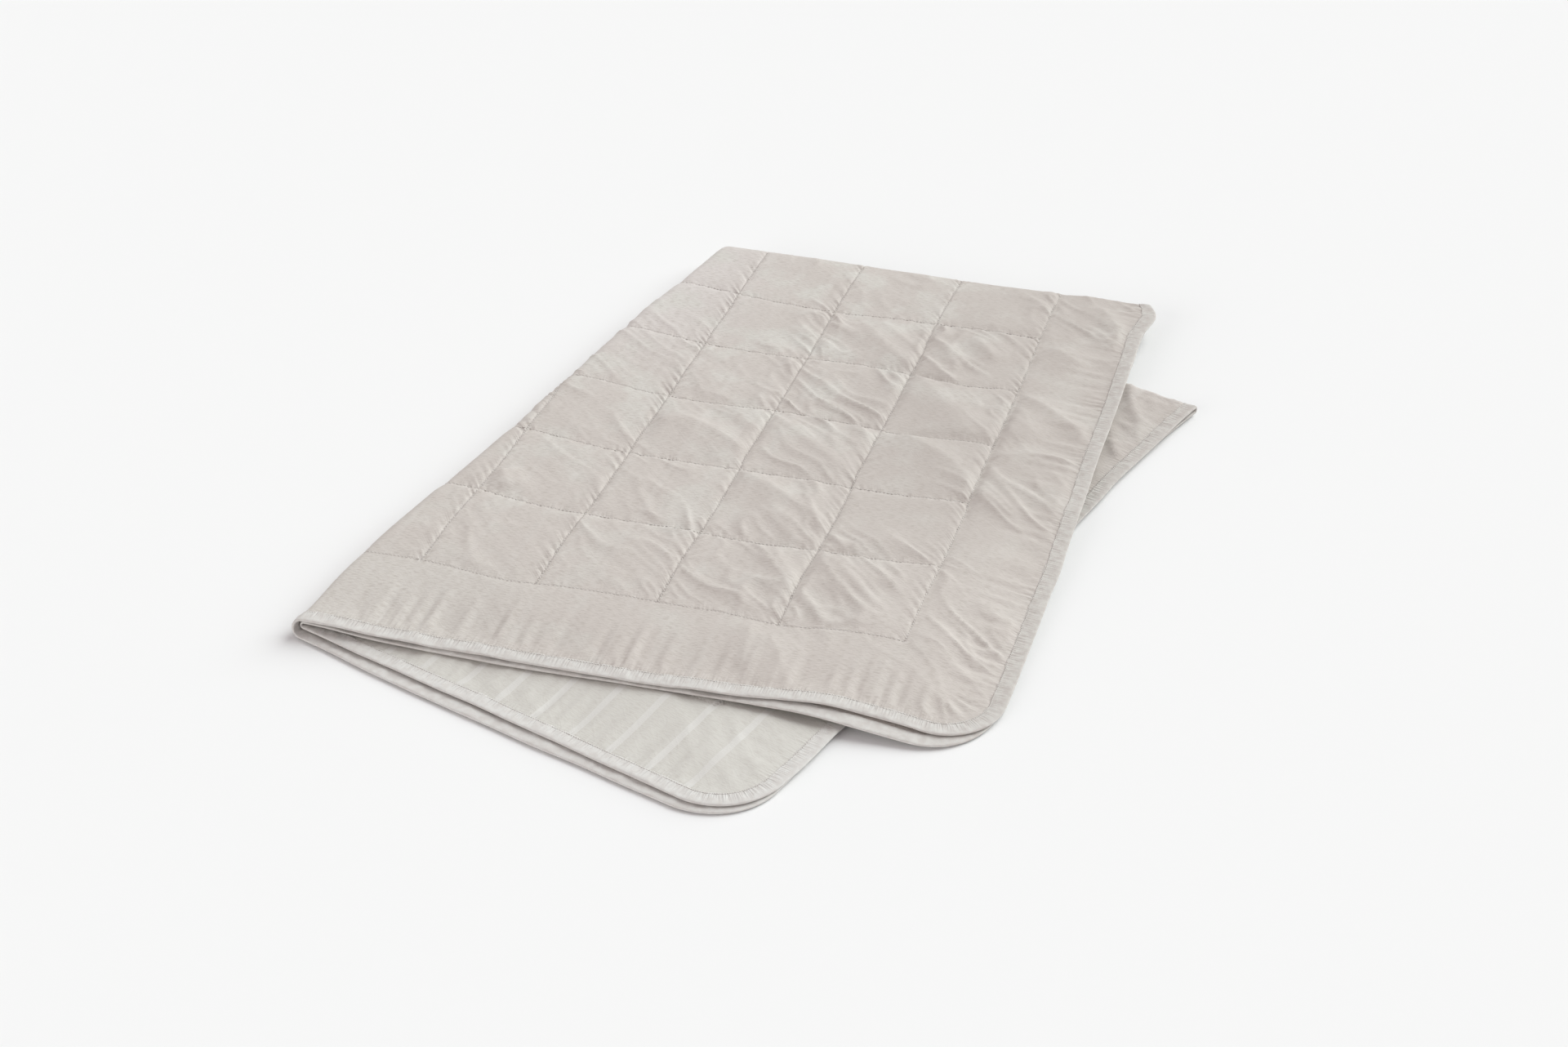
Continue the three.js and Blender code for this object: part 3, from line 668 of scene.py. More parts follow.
def grid_rim(rows, columns, first=0):
    """The vertices round a grid, once round anticlockwise and back to the start."""
    number = first + np.arange(rows * columns).reshape(rows, columns)
    ring = np.concatenate((number[:-1, 0], number[-1, :-1], number[:0:-1, -1], number[0, :0:-1]))
    return np.append(ring, ring[0])


def new_piece(name, points, face_groups, material):
    """A mesh object from points in millimetres, none of them let under the floor, and groups of faces,
    each group an array with one face a row."""
    points = points.reshape(-1, 3) * METRE
    points[:, 2] = np.maximum(points[:, 2], 0)
    mesh = bpy.data.meshes.new(name)
    corners = np.concatenate([group.ravel() for group in face_groups]).astype(np.int32)
    sizes = np.concatenate([np.full(len(group), group.shape[1]) for group in face_groups])
    starts = np.concatenate(([0], np.cumsum(sizes)[:-1])).astype(np.int32)
    mesh.vertices.add(len(points))
    mesh.vertices.foreach_set("co", points.astype(np.float32).ravel())
    mesh.loops.add(len(corners))
    mesh.loops.foreach_set("vertex_index", corners)
    mesh.polygons.add(len(sizes))
    mesh.polygons.foreach_set("loop_start", starts)
    mesh.update(calc_edges=True)
    mesh.shade_smooth()
    mesh.materials.append(material)
    piece = bpy.data.objects.new(name, mesh)
    bpy.context.collection.objects.link(piece)
    return piece


def lay_out(piece, name, u, v):
    """A UV map of the piece, from a pair of millimetres for each corner of its faces."""
    layer = piece.data.uv_layers.new(name=name)
    places = np.stack((u.ravel() * METRE, v.ravel() * METRE), -1)
    layer.uv.foreach_set("vector", places.astype(np.float32).ravel())


def node_group(name, vectors, numbers, results):
    """An empty shader node group with named sockets. Vectors go in, and numbers with their usual values,
    and numbers come out. Given back are the group, and what its nodes are linked from and to."""
    group = bpy.data.node_groups.new(name, "ShaderNodeTree")
    for label in vectors:
        group.interface.new_socket(label, in_out="INPUT", socket_type="NodeSocketVector")
    for label, value in numbers.items():
        socket = group.interface.new_socket(label, in_out="INPUT", socket_type="NodeSocketFloat")
        socket.default_value = value
    for label in results:
        group.interface.new_socket(label, in_out="OUTPUT", socket_type="NodeSocketFloat")
    return group, group.nodes.new("NodeGroupInput").outputs, group.nodes.new("NodeGroupOutput").inputs


def add_node(tree, kind, settings=None, **inputs):
    """A node with its settings and inputs: an input is a value, or a socket to link from."""
    node = tree.nodes.new("ShaderNode" + kind)
    for key, value in (settings or {}).items():
        setattr(node, key, value)
    for key, value in inputs.items():
        numbered = key[0] == "i" and key[1:].isdigit()
        socket = node.inputs[int(key[1:]) if numbered else key.replace("_", " ")]
        if isinstance(value, bpy.types.NodeSocket):
            tree.links.new(value, socket)
        else:
            socket.default_value = value
    return node


def arithmetic(tree, operation, first, second=0.0, third=0.0):
    """The output of a Math node."""
    return add_node(tree, "Math", {"operation": operation}, i0=first, i1=second, i2=third).outputs[0]


def product(tree, first, *others):
    """All of the values multiplied."""
    for other in others:
        first = arithmetic(tree, "MULTIPLY", first, other)
    return first


def product_plus(tree, first, second, third):
    """The first two multiplied, and the third added."""
    return arithmetic(tree, "MULTIPLY_ADD", first, second, third)


def quotient(tree, first, second):
    """The first divided by the second."""
    return arithmetic(tree, "DIVIDE", first, second)


def difference(tree, first, second):
    """The first less the second."""
    return arithmetic(tree, "SUBTRACT", first, second)


def absolute(tree, value):
    """The value without its sign."""
    return arithmetic(tree, "ABSOLUTE", value)


def soft_range(tree, value, start, end, low=0.0, high=1.0):
    """A soft step from low at the start to high at the end."""
    return add_node(tree, "MapRange", {"interpolation_type": "SMOOTHSTEP"}, Value=value,
                    From_Min=start, From_Max=end, To_Min=low, To_Max=high).outputs[0]


def even_range(tree, value, start, end, low=0.0, high=1.0):
    """An even slope from low at the start to high at the end, and level past them."""
    return add_node(tree, "MapRange", Value=value, From_Min=start, From_Max=end,
                    To_Min=low, To_Max=high).outputs[0]


def scaled(tree, vector, factor):
    """A vector times a number."""
    return add_node(tree, "VectorMath", {"operation": "SCALE"}, Vector=vector, Scale=factor).outputs[0]


def parts_of(tree, vector):
    """The first two parts of a vector."""
    parts = add_node(tree, "SeparateXYZ", Vector=vector).outputs
    return parts["X"], parts["Y"]


def on_plane(tree, x, y):
    """A place on a plane."""
    return add_node(tree, "CombineXYZ", X=x, Y=y).outputs[0]


def flat_noise(tree, place, detail=1.0, **more):
    """Noise on a plane, between nought and one, with about one blot to each unit."""
    return add_node(tree, "TexNoise", {"noise_dimensions": "2D"}, Vector=place, Scale=1.0,
                    Detail=detail, **more).outputs[0]


def blended(tree, share, first, second):
    """The first colour, turning to the second by a share."""
    return add_node(tree, "Mix", {"data_type": "RGBA"}, i0=share, i6=first, i7=second).outputs[2]


def new_material(name):
    """A material, its node tree and its shader."""
    material = bpy.data.materials.new(name)
    material.use_nodes = True
    return material, material.node_tree, material.node_tree.nodes["Principled BSDF"]


def map_in_millimetres(tree, name):
    """The place on one of the piece's UV maps."""
    return scaled(tree, add_node(tree, "UVMap", {"uv_map": name}).outputs[0], 1 / METRE)


NOISE_MIDDLE = 0.5
SLUB_EDGE = (0.52, 0.36)
SLUB_PATCH_SCALE = 0.022
SLUB_PATCH_EDGE = (0.3, 0.65)
SLUB_LEAST = 0.85


def slub_weave():
    """Woven cotton with thick places in its cross threads: dashes that are long across the duvet and
    thin along it, from noise on a stretched map, and a little weaker in patches."""
    group, given, result = node_group(
        "slub weave", ["Cloth"], {"Dash Length": 9.0, "Dash Width": 1.1}, ["Dash", "Height"])
    across, along = parts_of(group, given["Cloth"])
    across = quotient(group, across, given["Dash Length"])
    along = quotient(group, along, given["Dash Width"])
    noise = flat_noise(group, on_plane(group, across, along))
    patchy = flat_noise(group, scaled(group, given["Cloth"], SLUB_PATCH_SCALE))
    strength = even_range(group, patchy, *SLUB_PATCH_EDGE, low=SLUB_LEAST)
    marked = product(group, soft_range(group, noise, *SLUB_EDGE), strength)
    group.links.new(marked, result["Dash"])
    group.links.new(noise, result["Height"])
    return group


STRIPE_SOFT_EDGE = 0.5


def satin_stripe():
    """Satin stripes woven along the duvet: one where the place across, taken in whole pitches, is
    nearer to a stripe's middle than half its width, with a soft edge."""
    group, given, result = node_group(
        "satin stripe", [], {"Across": 0.0, "Pitch": 51.0, "Width": 10.0, "First": 0.0}, ["Stripe"])
    turns = quotient(group, difference(group, given["Across"], given["First"]), given["Pitch"])
    off = absolute(group, difference(group, turns, arithmetic(group, "ROUND", turns)))
    half_width = product(group, given["Width"], 0.5)
    outside = difference(group, product(group, off, given["Pitch"]), half_width)
    stripe = soft_range(group, outside, STRIPE_SOFT_EDGE, -STRIPE_SOFT_EDGE)
    group.links.new(stripe, result["Stripe"])
    return group


CRINKLE_DISTORTION = 0.3
CRINKLE_RIDGE = (0.14, 0.0)


def crinkle():
    """Small crinkles of washed cotton: stretched noise, folded at its middle value so that it makes
    sharp little ridges."""
    group, given, result = node_group(
        "crinkle", ["Cloth"], {"Length": 30.0, "Width": 8.0, "Turn": 0.7}, ["Height"])
    turned = add_node(group, "VectorRotate", {"rotation_type": "Z_AXIS"}, Vector=given["Cloth"],
                      Angle=given["Turn"])
    along, across = parts_of(group, turned.outputs[0])
    along = quotient(group, along, given["Length"])
    across = quotient(group, across, given["Width"])
    noise = flat_noise(group, on_plane(group, along, across), detail=2.0, Distortion=CRINKLE_DISTORTION)
    folded_over = absolute(group, difference(group, noise, NOISE_MIDDLE))
    group.links.new(soft_range(group, folded_over, *CRINKLE_RIDGE), result["Height"])
    return group


GATHER_STRETCH = 0.03
COLUMN_SLANT = -1.2
ROW_SLANT = 0.2
ROW_SHARE = 0.8
HEM_SHARE = 0.9
HEM_FADE = 0.8
PAST_SQUARES = 30.0
LINE_EDGE = (1.1, 0.3)
DRAWN_SCALE = 0.035
DRAWN_EDGE = (0.38, 0.62)


def seam_gathers():
    """The finest gathers, which the threads of the quilting and of the tape draw up: noise that runs
    with a seam, on a slant away from it and fading with the distance. The map is the straight quilting,
    so its seams lie at whole squares. It also marks the line of the stitches."""
    group, given, result = node_group(
        "seam gathers", ["Quilting", "Cloth"], {"Pitch": 3.0, "Reach": 7.0}, ["Height", "Line"])
    across, along = parts_of(group, given["Quilting"])
    cloth_across, cloth_along = parts_of(group, given["Cloth"])
    pitch, reach = given["Pitch"], given["Reach"]
    half_width, half_length = CELLS_ACROSS * CELL_WIDTH / 2, CELLS_ALONG * CELL_LENGTH / 2
    heights, marks = [], []
    for place, run, cell, half, run_half, slant in (
        (across, along, CELL_WIDTH, half_width, half_length, COLUMN_SLANT),
        (along, across, CELL_LENGTH, half_length, half_width, ROW_SLANT),
    ):
        number = arithmetic(group, "ROUND", quotient(group, place, cell))
        off = absolute(group, product_plus(group, number, -cell, place))
        past_end = difference(group, absolute(group, run), run_half)
        past_last = difference(group, absolute(group, place), half + PAST_SQUARES)
        there = even_range(group, arithmetic(group, "MAXIMUM", past_end, past_last), 1.0, 0.0)
        slanted = quotient(group, product_plus(group, off, slant, run), pitch)
        noise = flat_noise(group, on_plane(group, slanted, product_plus(group, off, GATHER_STRETCH, number)))
        fade = arithmetic(group, "EXPONENT", quotient(group, product(group, off, -1.0), reach))
        heights.append(product(group, difference(group, noise, NOISE_MIDDLE), fade, there))
        marks.append(product(group, soft_range(group, off, *LINE_EDGE), there))
    from_side = difference(group, WIDTH / 2, absolute(group, cloth_across))
    from_end = difference(group, LENGTH / 2, absolute(group, cloth_along))
    at_side = arithmetic(group, "LESS_THAN", from_side, from_end)
    run = add_node(group, "Mix", {"data_type": "FLOAT"}, i0=at_side, i2=cloth_across, i3=cloth_along)
    off = difference(group, arithmetic(group, "MINIMUM", from_side, from_end), TAPE_WIDTH)
    spot = on_plane(group, quotient(group, run.outputs[0], pitch), product(group, off, GATHER_STRETCH))
    fade = arithmetic(group, "EXPONENT", quotient(group, product(group, off, -HEM_FADE), reach))
    fade = arithmetic(group, "MINIMUM", fade, 1.0)
    at_hem = product(group, difference(group, flat_noise(group, spot), NOISE_MIDDLE), fade)
    seams = product_plus(group, heights[1], ROW_SHARE, heights[0])
    patch = flat_noise(group, scaled(group, given["Cloth"], DRAWN_SCALE))
    drawn = product(group, seams, even_range(group, patch, *DRAWN_EDGE))
    group.links.new(product_plus(group, at_hem, HEM_SHARE, drawn), result["Height"])
    group.links.new(arithmetic(group, "MAXIMUM", *marks), result["Line"])
    return group


WEAVE, STRIPE, CRINKLE, GATHERS = slub_weave(), satin_stripe(), crinkle(), seam_gathers()

Zone = namedtuple("Zone", "start end low high", defaults=(0.0, 1.0))
STRIPE_SHIFT = Zone(-110.0, 60.0, 10.4, -5.2)
STRIPE_PAST_FOLD = Zone(0.0, -150.0, 0.6)
STRIPE_LEFT_PART = Zone(380.0, 340.0)
STRIPE_FROM_HEM = Zone(-640.0, -615.0)
# Zones for the cloth's painted sheen, painted highlights, painted shade and painted light
STRIPE_SHEEN_ALONG = Zone(150.0, 550.0, 0.14)
HIGHLIGHT_BLOTS = Zone(0.46, 0.7)
HIGHLIGHT_TO_BACK = Zone(-900.0, -150.0, 0.4, 0.85)
SHADE_TO_RIGHT = Zone(220.0, 560.0)
SHADE_PAST_BACK = Zone(0.0, 60.0)
SHADE_FROM_FRONT = Zone(-850.0, -480.0)
LIT_THIRD_SIDE = Zone(-20.0, -110.0)
LIT_THIRD_END = Zone(450.0, 760.0)
LIT_TO_FOLD = Zone(230.0, 20.0, 0.0, 0.9)
LIT_TO_BACK = Zone(-480.0, -130.0)
LIT_BEFORE_BACK = Zone(30.0, -10.0)
HIGHLIGHT_FRONT_FOLD = Zone(-800.0, -900.0, 0.0, 0.5)
# Colours of the cloth: the ground, painted shade, painted light, painted highlight patches, slubs, painted
# satin sheen and painted shade in the seam lines
GROUND = (0.604, 0.557, 0.521, 1)
PAINTED_SHADE_GROUND = (0.553, 0.507, 0.473, 1)
PAINTED_LIGHT_GROUND = (0.695, 0.652, 0.632, 1)
PAINTED_HIGHLIGHT = (0.655, 0.637, 0.595, 1)
HIGHLIGHT_LESS_IN_SHADE = -0.6
MOTTLE_SCALE = 0.014
SLUB = (0.44, 0.395, 0.355, 1)
SLUB_SHARE = 0.46
SLUB_LESS_IN_LIT_THIRD = -0.23
PAINTED_SATIN_SHEEN = (0.71, 0.695, 0.665, 1)
SATIN_SHEEN_SHARE = 0.8
PAINTED_SEAM_SHADE = (0.42, 0.38, 0.345, 1)
PAINTED_SEAM_SHADE_SHARE = 0.05
WEAVE_HEIGHT = 0.08
CRINKLE_HEIGHT = 0.05
SEAM_GATHER_HEIGHT = 1.3
SEAM_LINE_HEIGHT = -0.2
CLOTH_SPECULAR = 0.25
CLOTH_SHEEN = 0.15


def cotton_cloth():
    """Undyed cotton: warm grey with darker slubs and woven satin stripes, and a bump of slubs, crinkles and
    gathers. Painted into the colour are cooler, paler highlight patches; painted sheen that makes the
    stripes pale and shows most on the folded-under part; painted light near the left fold and on the
    front of the folded-under part; painted shade towards the right and past the back fold; and a little
    painted shade in the stitch lines."""
    material, tree, shader = new_material("cotton_cloth")
    flat = map_in_millimetres(tree, "cloth")
    across, along = parts_of(tree, flat)
    weave = add_node(tree, "Group", {"node_tree": WEAVE}, Cloth=flat)
    # The satin stripes are woven; their paler colour is painted sheen, faint on the top layer and full on the
    # folded-under part
    stripe = add_node(tree, "Group", {"node_tree": STRIPE}, Across=across, Pitch=50.8, Width=8.0,
                      First=soft_range(tree, across, *STRIPE_SHIFT))
    stripes = product(tree, stripe.outputs[0], soft_range(tree, across, *STRIPE_PAST_FOLD),
                      soft_range(tree, across, *STRIPE_FROM_HEM), soft_range(tree, across, *STRIPE_LEFT_PART),
                      soft_range(tree, along, *STRIPE_SHEEN_ALONG))

    # Painted highlights: cool pale blots for the sheen of the light from behind, stronger towards the back,
    # weaker where shade is painted, and also at the front of the left fold
    mottle = flat_noise(tree, scaled(tree, flat, MOTTLE_SCALE), detail=3.0, Roughness=0.55)
    pale = product(tree, soft_range(tree, mottle, *HIGHLIGHT_BLOTS), soft_range(tree, along, *HIGHLIGHT_TO_BACK))
    # Painted shade: the cloth is darker towards the right, where the light falls off, and past the back fold
    darker = arithmetic(tree, "MAXIMUM", soft_range(tree, across, *SHADE_TO_RIGHT),
                        soft_range(tree, along, *SHADE_PAST_BACK))
    pale = product(tree, pale, product_plus(tree, darker, HIGHLIGHT_LESS_IN_SHADE, 1.0))
    # Painted light: the front of the folded-under third is paler, mixed in with the painted highlights, and
    # its slubs show less
    painted_light_on_third = product(tree, soft_range(tree, across, *LIT_THIRD_SIDE), soft_range(tree, along, *LIT_THIRD_END))
    to_fold = soft_range(tree, across, *LIT_TO_FOLD)
    pale = arithmetic(tree, "MAXIMUM", arithmetic(tree, "MAXIMUM", pale, painted_light_on_third),
                      product(tree, to_fold, soft_range(tree, along, *HIGHLIGHT_FRONT_FOLD)))
    # Painted light: the top layer is paler at its back, near the left fold, where the light falls strongest
    painted_light_at_fold = product(tree, to_fold, soft_range(tree, along, *LIT_TO_BACK),
                       soft_range(tree, along, *LIT_BEFORE_BACK))
    slubs = product(tree, weave.outputs["Dash"], product_plus(tree, painted_light_on_third, SLUB_LESS_IN_LIT_THIRD, SLUB_SHARE))
    # The painted shade fades out towards the front
    darker = product(tree, darker, soft_range(tree, along, *SHADE_FROM_FRONT))

    straight = map_in_millimetres(tree, "quilting")
    gathers = add_node(tree, "Group", {"node_tree": GATHERS}, Quilting=straight, Cloth=flat,
                       Pitch=3.6, Reach=6.0)
    # The ground colour, with painted shade, painted light, painted highlights, slubs, painted satin sheen and
    # painted seam shade mixed in
    colour = GROUND
    for share, other in (
        (darker, PAINTED_SHADE_GROUND), (painted_light_at_fold, PAINTED_LIGHT_GROUND), (pale, PAINTED_HIGHLIGHT), (slubs, SLUB),
        (product(tree, stripes, SATIN_SHEEN_SHARE), PAINTED_SATIN_SHEEN),
        # A little painted shade in the stitch lines of the seams
        (product(tree, gathers.outputs["Line"], PAINTED_SEAM_SHADE_SHARE), PAINTED_SEAM_SHADE),
    ):
        colour = blended(tree, share, colour, other)
    tree.links.new(colour, shader.inputs["Base Color"])
    tree.links.new(even_range(tree, stripes, 0.0, 1.0, 0.85, 0.6), shader.inputs["Roughness"])
    shader.inputs["Specular IOR Level"].default_value = CLOTH_SPECULAR
    shader.inputs["Sheen Weight"].default_value = CLOTH_SHEEN
    shader.inputs["Sheen Roughness"].default_value = 0.4

    fine = add_node(tree, "Group", {"node_tree": CRINKLE}, Cloth=flat, Length=38.0, Width=10.0, Turn=0.72)
    height = product(tree, fine.outputs["Height"], CRINKLE_HEIGHT)
    height = product_plus(tree, weave.outputs["Height"], WEAVE_HEIGHT, height)
    height = product_plus(tree, gathers.outputs["Height"], SEAM_GATHER_HEIGHT, height)
    height = product_plus(tree, gathers.outputs["Line"], SEAM_LINE_HEIGHT, height)
    bump = add_node(tree, "Bump", Strength=1.0, Distance=METRE, Height=height)
    tree.links.new(bump.outputs[0], shader.inputs["Normal"])
    return material


COTTON = cotton_cloth()

column_ends = CELL_WIDTH * (np.arange(CELLS_ACROSS + 1) - CELLS_ACROSS / 2)
row_ends = CELL_LENGTH * (np.arange(CELLS_ALONG + 1) - CELLS_ALONG / 2)
column_steps = (24, 27, 27, 27, 72, 72, 63, 63, 63, 45)
row_steps = (48, 60, 60, 60, 60, 60, 60, 51, 27, 24, 24, 33, 36, 36)
across_lines = grid_lines(column_ends, WIDTH / 2 - RIM_INSET, column_steps)
along_lines = grid_lines(row_ends, LENGTH / 2 - RIM_INSET, row_steps)
quilt_s, quilt_t = drawn_corner(*np.meshgrid(across_lines, along_lines, indexing="ij"))
grid_s, grid_t = off_quilt(quilt_s, quilt_t)
at_rim = hem_distance(grid_s, grid_t) < RIM_INSET + RIM_SLACK
outer = on_cloth(grid_s, grid_t, np.where(at_rim, RIM_HALF, face_height(grid_s, grid_t)))
inner_s, inner_t = grid_s[::INNER_STEP, ::INNER_STEP], grid_t[::INNER_STEP, ::INNER_STEP]
at_rim = hem_distance(inner_s, inner_t) < RIM_INSET + RIM_SLACK
inner = on_cloth(inner_s, inner_t, -np.where(at_rim, RIM_HALF, resting_half(inner_s, inner_t)))
points = np.concatenate((outer.reshape(-1, 3), inner.reshape(-1, 3)))
outer_ring = grid_rim(*grid_s.shape)
inner_ring = grid_rim(*inner_s.shape, first=grid_s.size)
back_round = [outer_ring[k::INNER_STEP] for k in range(INNER_STEP, 0, -1)]
rim = np.stack((outer_ring[:-1:INNER_STEP], inner_ring[:-1], inner_ring[1:], *back_round), -1)
face_groups = (grid_faces(*grid_s.shape), grid_faces(*inner_s.shape, first=grid_s.size)[:, ::-1], rim)
duvet = new_piece("quilted_duvet", points, face_groups, COTTON)
corner_vertex = np.concatenate([group.ravel() for group in face_groups])
lay_out(duvet, "cloth", on_both(grid_s)[corner_vertex], on_both(grid_t)[corner_vertex])
lay_out(duvet, "quilting", on_both(quilt_s)[corner_vertex], on_both(quilt_t)[corner_vertex])
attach(duvet, "root")
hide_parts("duvet_body")

# The quilting stitches
# A pale cotton thread sewn through the duvet in running stitches, five or six to the inch, along each
# seam of the squares. Each stitch is a short thread that bulges in the middle and dives in at its ends.
STITCH_PITCH = 4.6
STITCH_LENGTH = 4.0
STITCH_HALF_WIDTH = 0.55
STITCH_RISE = 0.6
STITCH_DIP = 0.15
STITCH_SHOULDER = 0.45
STITCH_VARIES = (0.85, 1.1)
STITCH_TURN = 0.12
STITCH_POINTS = 10


def stitch_row(start, end, pitch):
    """The middles of the stitches of one seam: evenly spaced, half a pitch in from both ends."""
    count = round((end - start) / pitch)
    return start + (end - start) * (np.arange(count) + 0.5) / count


def thread_points(middle_s, middle_t, way_s, way_t, length, seed):
    """Ten points for each stitch: a tip at either end that dips into the cloth, and two rings of four
    between them, low, beside, high and beside. Lengths and turns vary a little from stitch to stitch."""
    rng = np.random.default_rng(seed)
    half = length / 2 * rng.uniform(*STITCH_VARIES, (len(middle_s), 1))
    turn = rng.uniform(-STITCH_TURN, STITCH_TURN, (len(middle_s), 1))
    way_s, way_t = way_s[:, None] - turn * way_t[:, None], way_t[:, None] + turn * way_s[:, None]
    along = np.array([-1.0, *[-STITCH_SHOULDER] * 4, *[STITCH_SHOULDER] * 4, 1.0]) * half
    beside = STITCH_HALF_WIDTH * np.array([0, 0, 1, 0, -1, 0, 1, 0, -1, 0.0])
    ring = (-STITCH_DIP, STITCH_RISE / 2, STITCH_RISE, STITCH_RISE / 2)
    above = np.array([-STITCH_DIP, *ring, *ring, -STITCH_DIP])
    s = middle_s[:, None] + along * way_s - beside * way_t
    t = middle_t[:, None] + along * way_t + beside * way_s
    return s, t, above + 0 * s


def thread_faces(count):
    """The faces of the stitches: three-cornered ones at the tips and four-cornered ones between them."""
    first = STITCH_POINTS * np.arange(count)[:, None, None]
    step = np.arange(4)
    after = (step + 1) % 4
    tip = np.stack((0 * step, 1 + after, 1 + step), -1)
    far_tip = np.stack((0 * step + STITCH_POINTS - 1, 5 + step, 5 + after), -1)
    sides = np.stack((1 + step, 1 + after, 5 + after, 5 + step), -1)
    ends = np.concatenate((first + tip, first + far_tip), 1).reshape(-1, 3)
    return ends, (first + sides).reshape(-1, 4)


THREAD_SHADED = (0.655, 0.62, 0.585, 1)
THREAD_LIT = (0.73, 0.70, 0.665, 1)
PLIES_SCALE = 900.0


def sewing_thread():
    """Undyed cotton thread, paler than the cloth, with the slant of its plies as a fine wave."""
    material, tree, shader = new_material("sewing_thread")
    place = add_node(tree, "TexCoord").outputs["Object"]
    plies = add_node(tree, "TexWave", {"bands_direction": "DIAGONAL"}, Vector=place,
                     Scale=PLIES_SCALE, Distortion=1.0).outputs["Fac"]
    tree.links.new(blended(tree, plies, THREAD_SHADED, THREAD_LIT), shader.inputs["Base Color"])
    tree.links.new(even_range(tree, plies, 0.0, 1.0, 0.8, 0.65), shader.inputs["Roughness"])
    bump = add_node(tree, "Bump", Strength=0.5, Distance=0.1 * METRE, Height=plies)
    tree.links.new(bump.outputs[0], shader.inputs["Normal"])
    return material


THREAD = sewing_thread()

half_width, half_length = CELLS_ACROSS * CELL_WIDTH / 2, CELLS_ALONG * CELL_LENGTH / 2
column_run = stitch_row(-half_length, half_length, STITCH_PITCH)
row_run = stitch_row(-half_width, half_width, STITCH_PITCH)
on_columns = np.stack(np.meshgrid(column_ends, column_run, indexing="ij"), -1).reshape(-1, 2)
on_rows = np.stack(np.meshgrid(row_run, row_ends, indexing="ij"), -1).reshape(-1, 2)
seam_middle = np.concatenate((on_columns, on_rows))
runs_along = np.repeat([1.0, 0.0], [len(on_columns), len(on_rows)])
sewn_s, sewn_t, sewn_height = thread_points(
    *seam_middle.T, 1 - runs_along, runs_along, STITCH_LENGTH, seed=30)
base = face_height(*off_quilt(*seam_middle.T))
sewn_points = on_cloth(*off_quilt(sewn_s, sewn_t), base[:, None] + sewn_height)
stitches = new_piece("quilting_stitches", sewn_points, thread_faces(len(seam_middle)), THREAD)
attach(stitches, "root")

# The edge binding
# A cotton tape folded over the cut edge of the duvet and sewn through along its inner edge. It is
# drawn a little tight, so that it crimps, and goes round the four corners in one length.
TAPE_CRIMP = 0.6
CRIMPS_ROUND = 1024
SWELLS_ROUND = 256
EDGE_WANDERS_ROUND = 640
TAPE_EDGE_WANDER = 0.8
TAPE_EDGE = (12.0, 17.0)
CRIMP_SLANT = 0.09
CRIMP_SPREAD = 9.0
SWELL = 0.4
SWELL_SPREAD = 30.0
TAPE_CLEARANCE = 1.05
HELD_CLEAR_FROM = 0.5

TapePoint = namedtuple("TapePoint", "inward height crimp")
TAPE_SECTION = (
    TapePoint(18.0, 0.95, 0.3), TapePoint(17.6, 1.25, 0.6), TapePoint(16.6, 1.25, 0.6),
    TapePoint(15.2, 1.35, 0.6), TapePoint(13.0, 1.45, 1.0), TapePoint(9.0, 1.5, 1.2),
    TapePoint(4.0, 1.5, 1.0), TapePoint(1.6, 1.4, 0.6), TapePoint(0.5, 1.15, 0.3),
    TapePoint(0.1, 0.8, 0.0), TapePoint(0.0, 0.0, 0.0),
)
TAPE_INSIDE = (
    TapePoint(18.0, -0.85, 0), TapePoint(10.0, -0.95, 0), TapePoint(1.1, -0.9, 0),
    TapePoint(1.1, 0.9, 0), TapePoint(10.0, 0.95, 0), TapePoint(18.0, 0.85, 0),
)
HEM_LENGTH = 2 * (WIDTH + LENGTH) - 8 * CORNER_RADIUS + 2 * math.pi * CORNER_RADIUS
LAST_GIRTH_STEP = 0.1
HEM_SAMPLES = 40001
CLOSE_WITHIN = 45.0
CLOSE_SPACING = 0.9
WIDE_SPACING = 3.2


def hem_stations(fine_at):
    """Places once round the hem, anticlockwise from the middle of the front, with the way inwards and
    the distance round at each: straight sides and quarter circles, closer together near the places that
    are given."""
    straight_s = WIDTH / 2 - CORNER_RADIUS
    straight_t = LENGTH / 2 - CORNER_RADIUS
    quarter = math.pi * CORNER_RADIUS / 2
    half_round = (straight_s, quarter, 2 * straight_t, quarter)
    ends = np.concatenate(([0], np.cumsum((*half_round, 2 * straight_s, *half_round[1:], straight_s))))
    sample = np.linspace(0, ends[-1], HEM_SAMPLES)
    turn = np.interp(sample, ends, math.pi / 2 * np.array([0, 0, 1, 1, 2, 2, 3, 3, 4, 4]) - math.pi / 2)
    heading = (turn[1:] + turn[:-1]) / 2 + math.pi / 2
    s = np.concatenate(([0], np.cumsum(np.cos(heading) * np.diff(sample))))
    t = np.concatenate(([0], np.cumsum(np.sin(heading) * np.diff(sample)))) - LENGTH / 2
    nearest = np.min([np.hypot(s - a, t - b) for a, b in fine_at], axis=0)
    spacing = np.where(nearest < CLOSE_WITHIN, CLOSE_SPACING, WIDE_SPACING)
    count = np.concatenate(([0], np.cumsum(np.diff(sample) / spacing[1:])))
    places = np.interp(np.linspace(0, count[-1], int(count[-1]) + 1)[:-1], count, sample)
    turn = np.interp(places, sample, turn)
    return np.interp(places, sample, s), np.interp(places, sample, t), -np.cos(turn), -np.sin(turn), places


TAPE_MOTTLE_SCALE = 0.12
TAPE_RIB_HEIGHT = 0.15
TAPE_GATHER_HEIGHT = 6.0
TAPE_GATHER_FROM_SEAM = (20.0, 3.0)


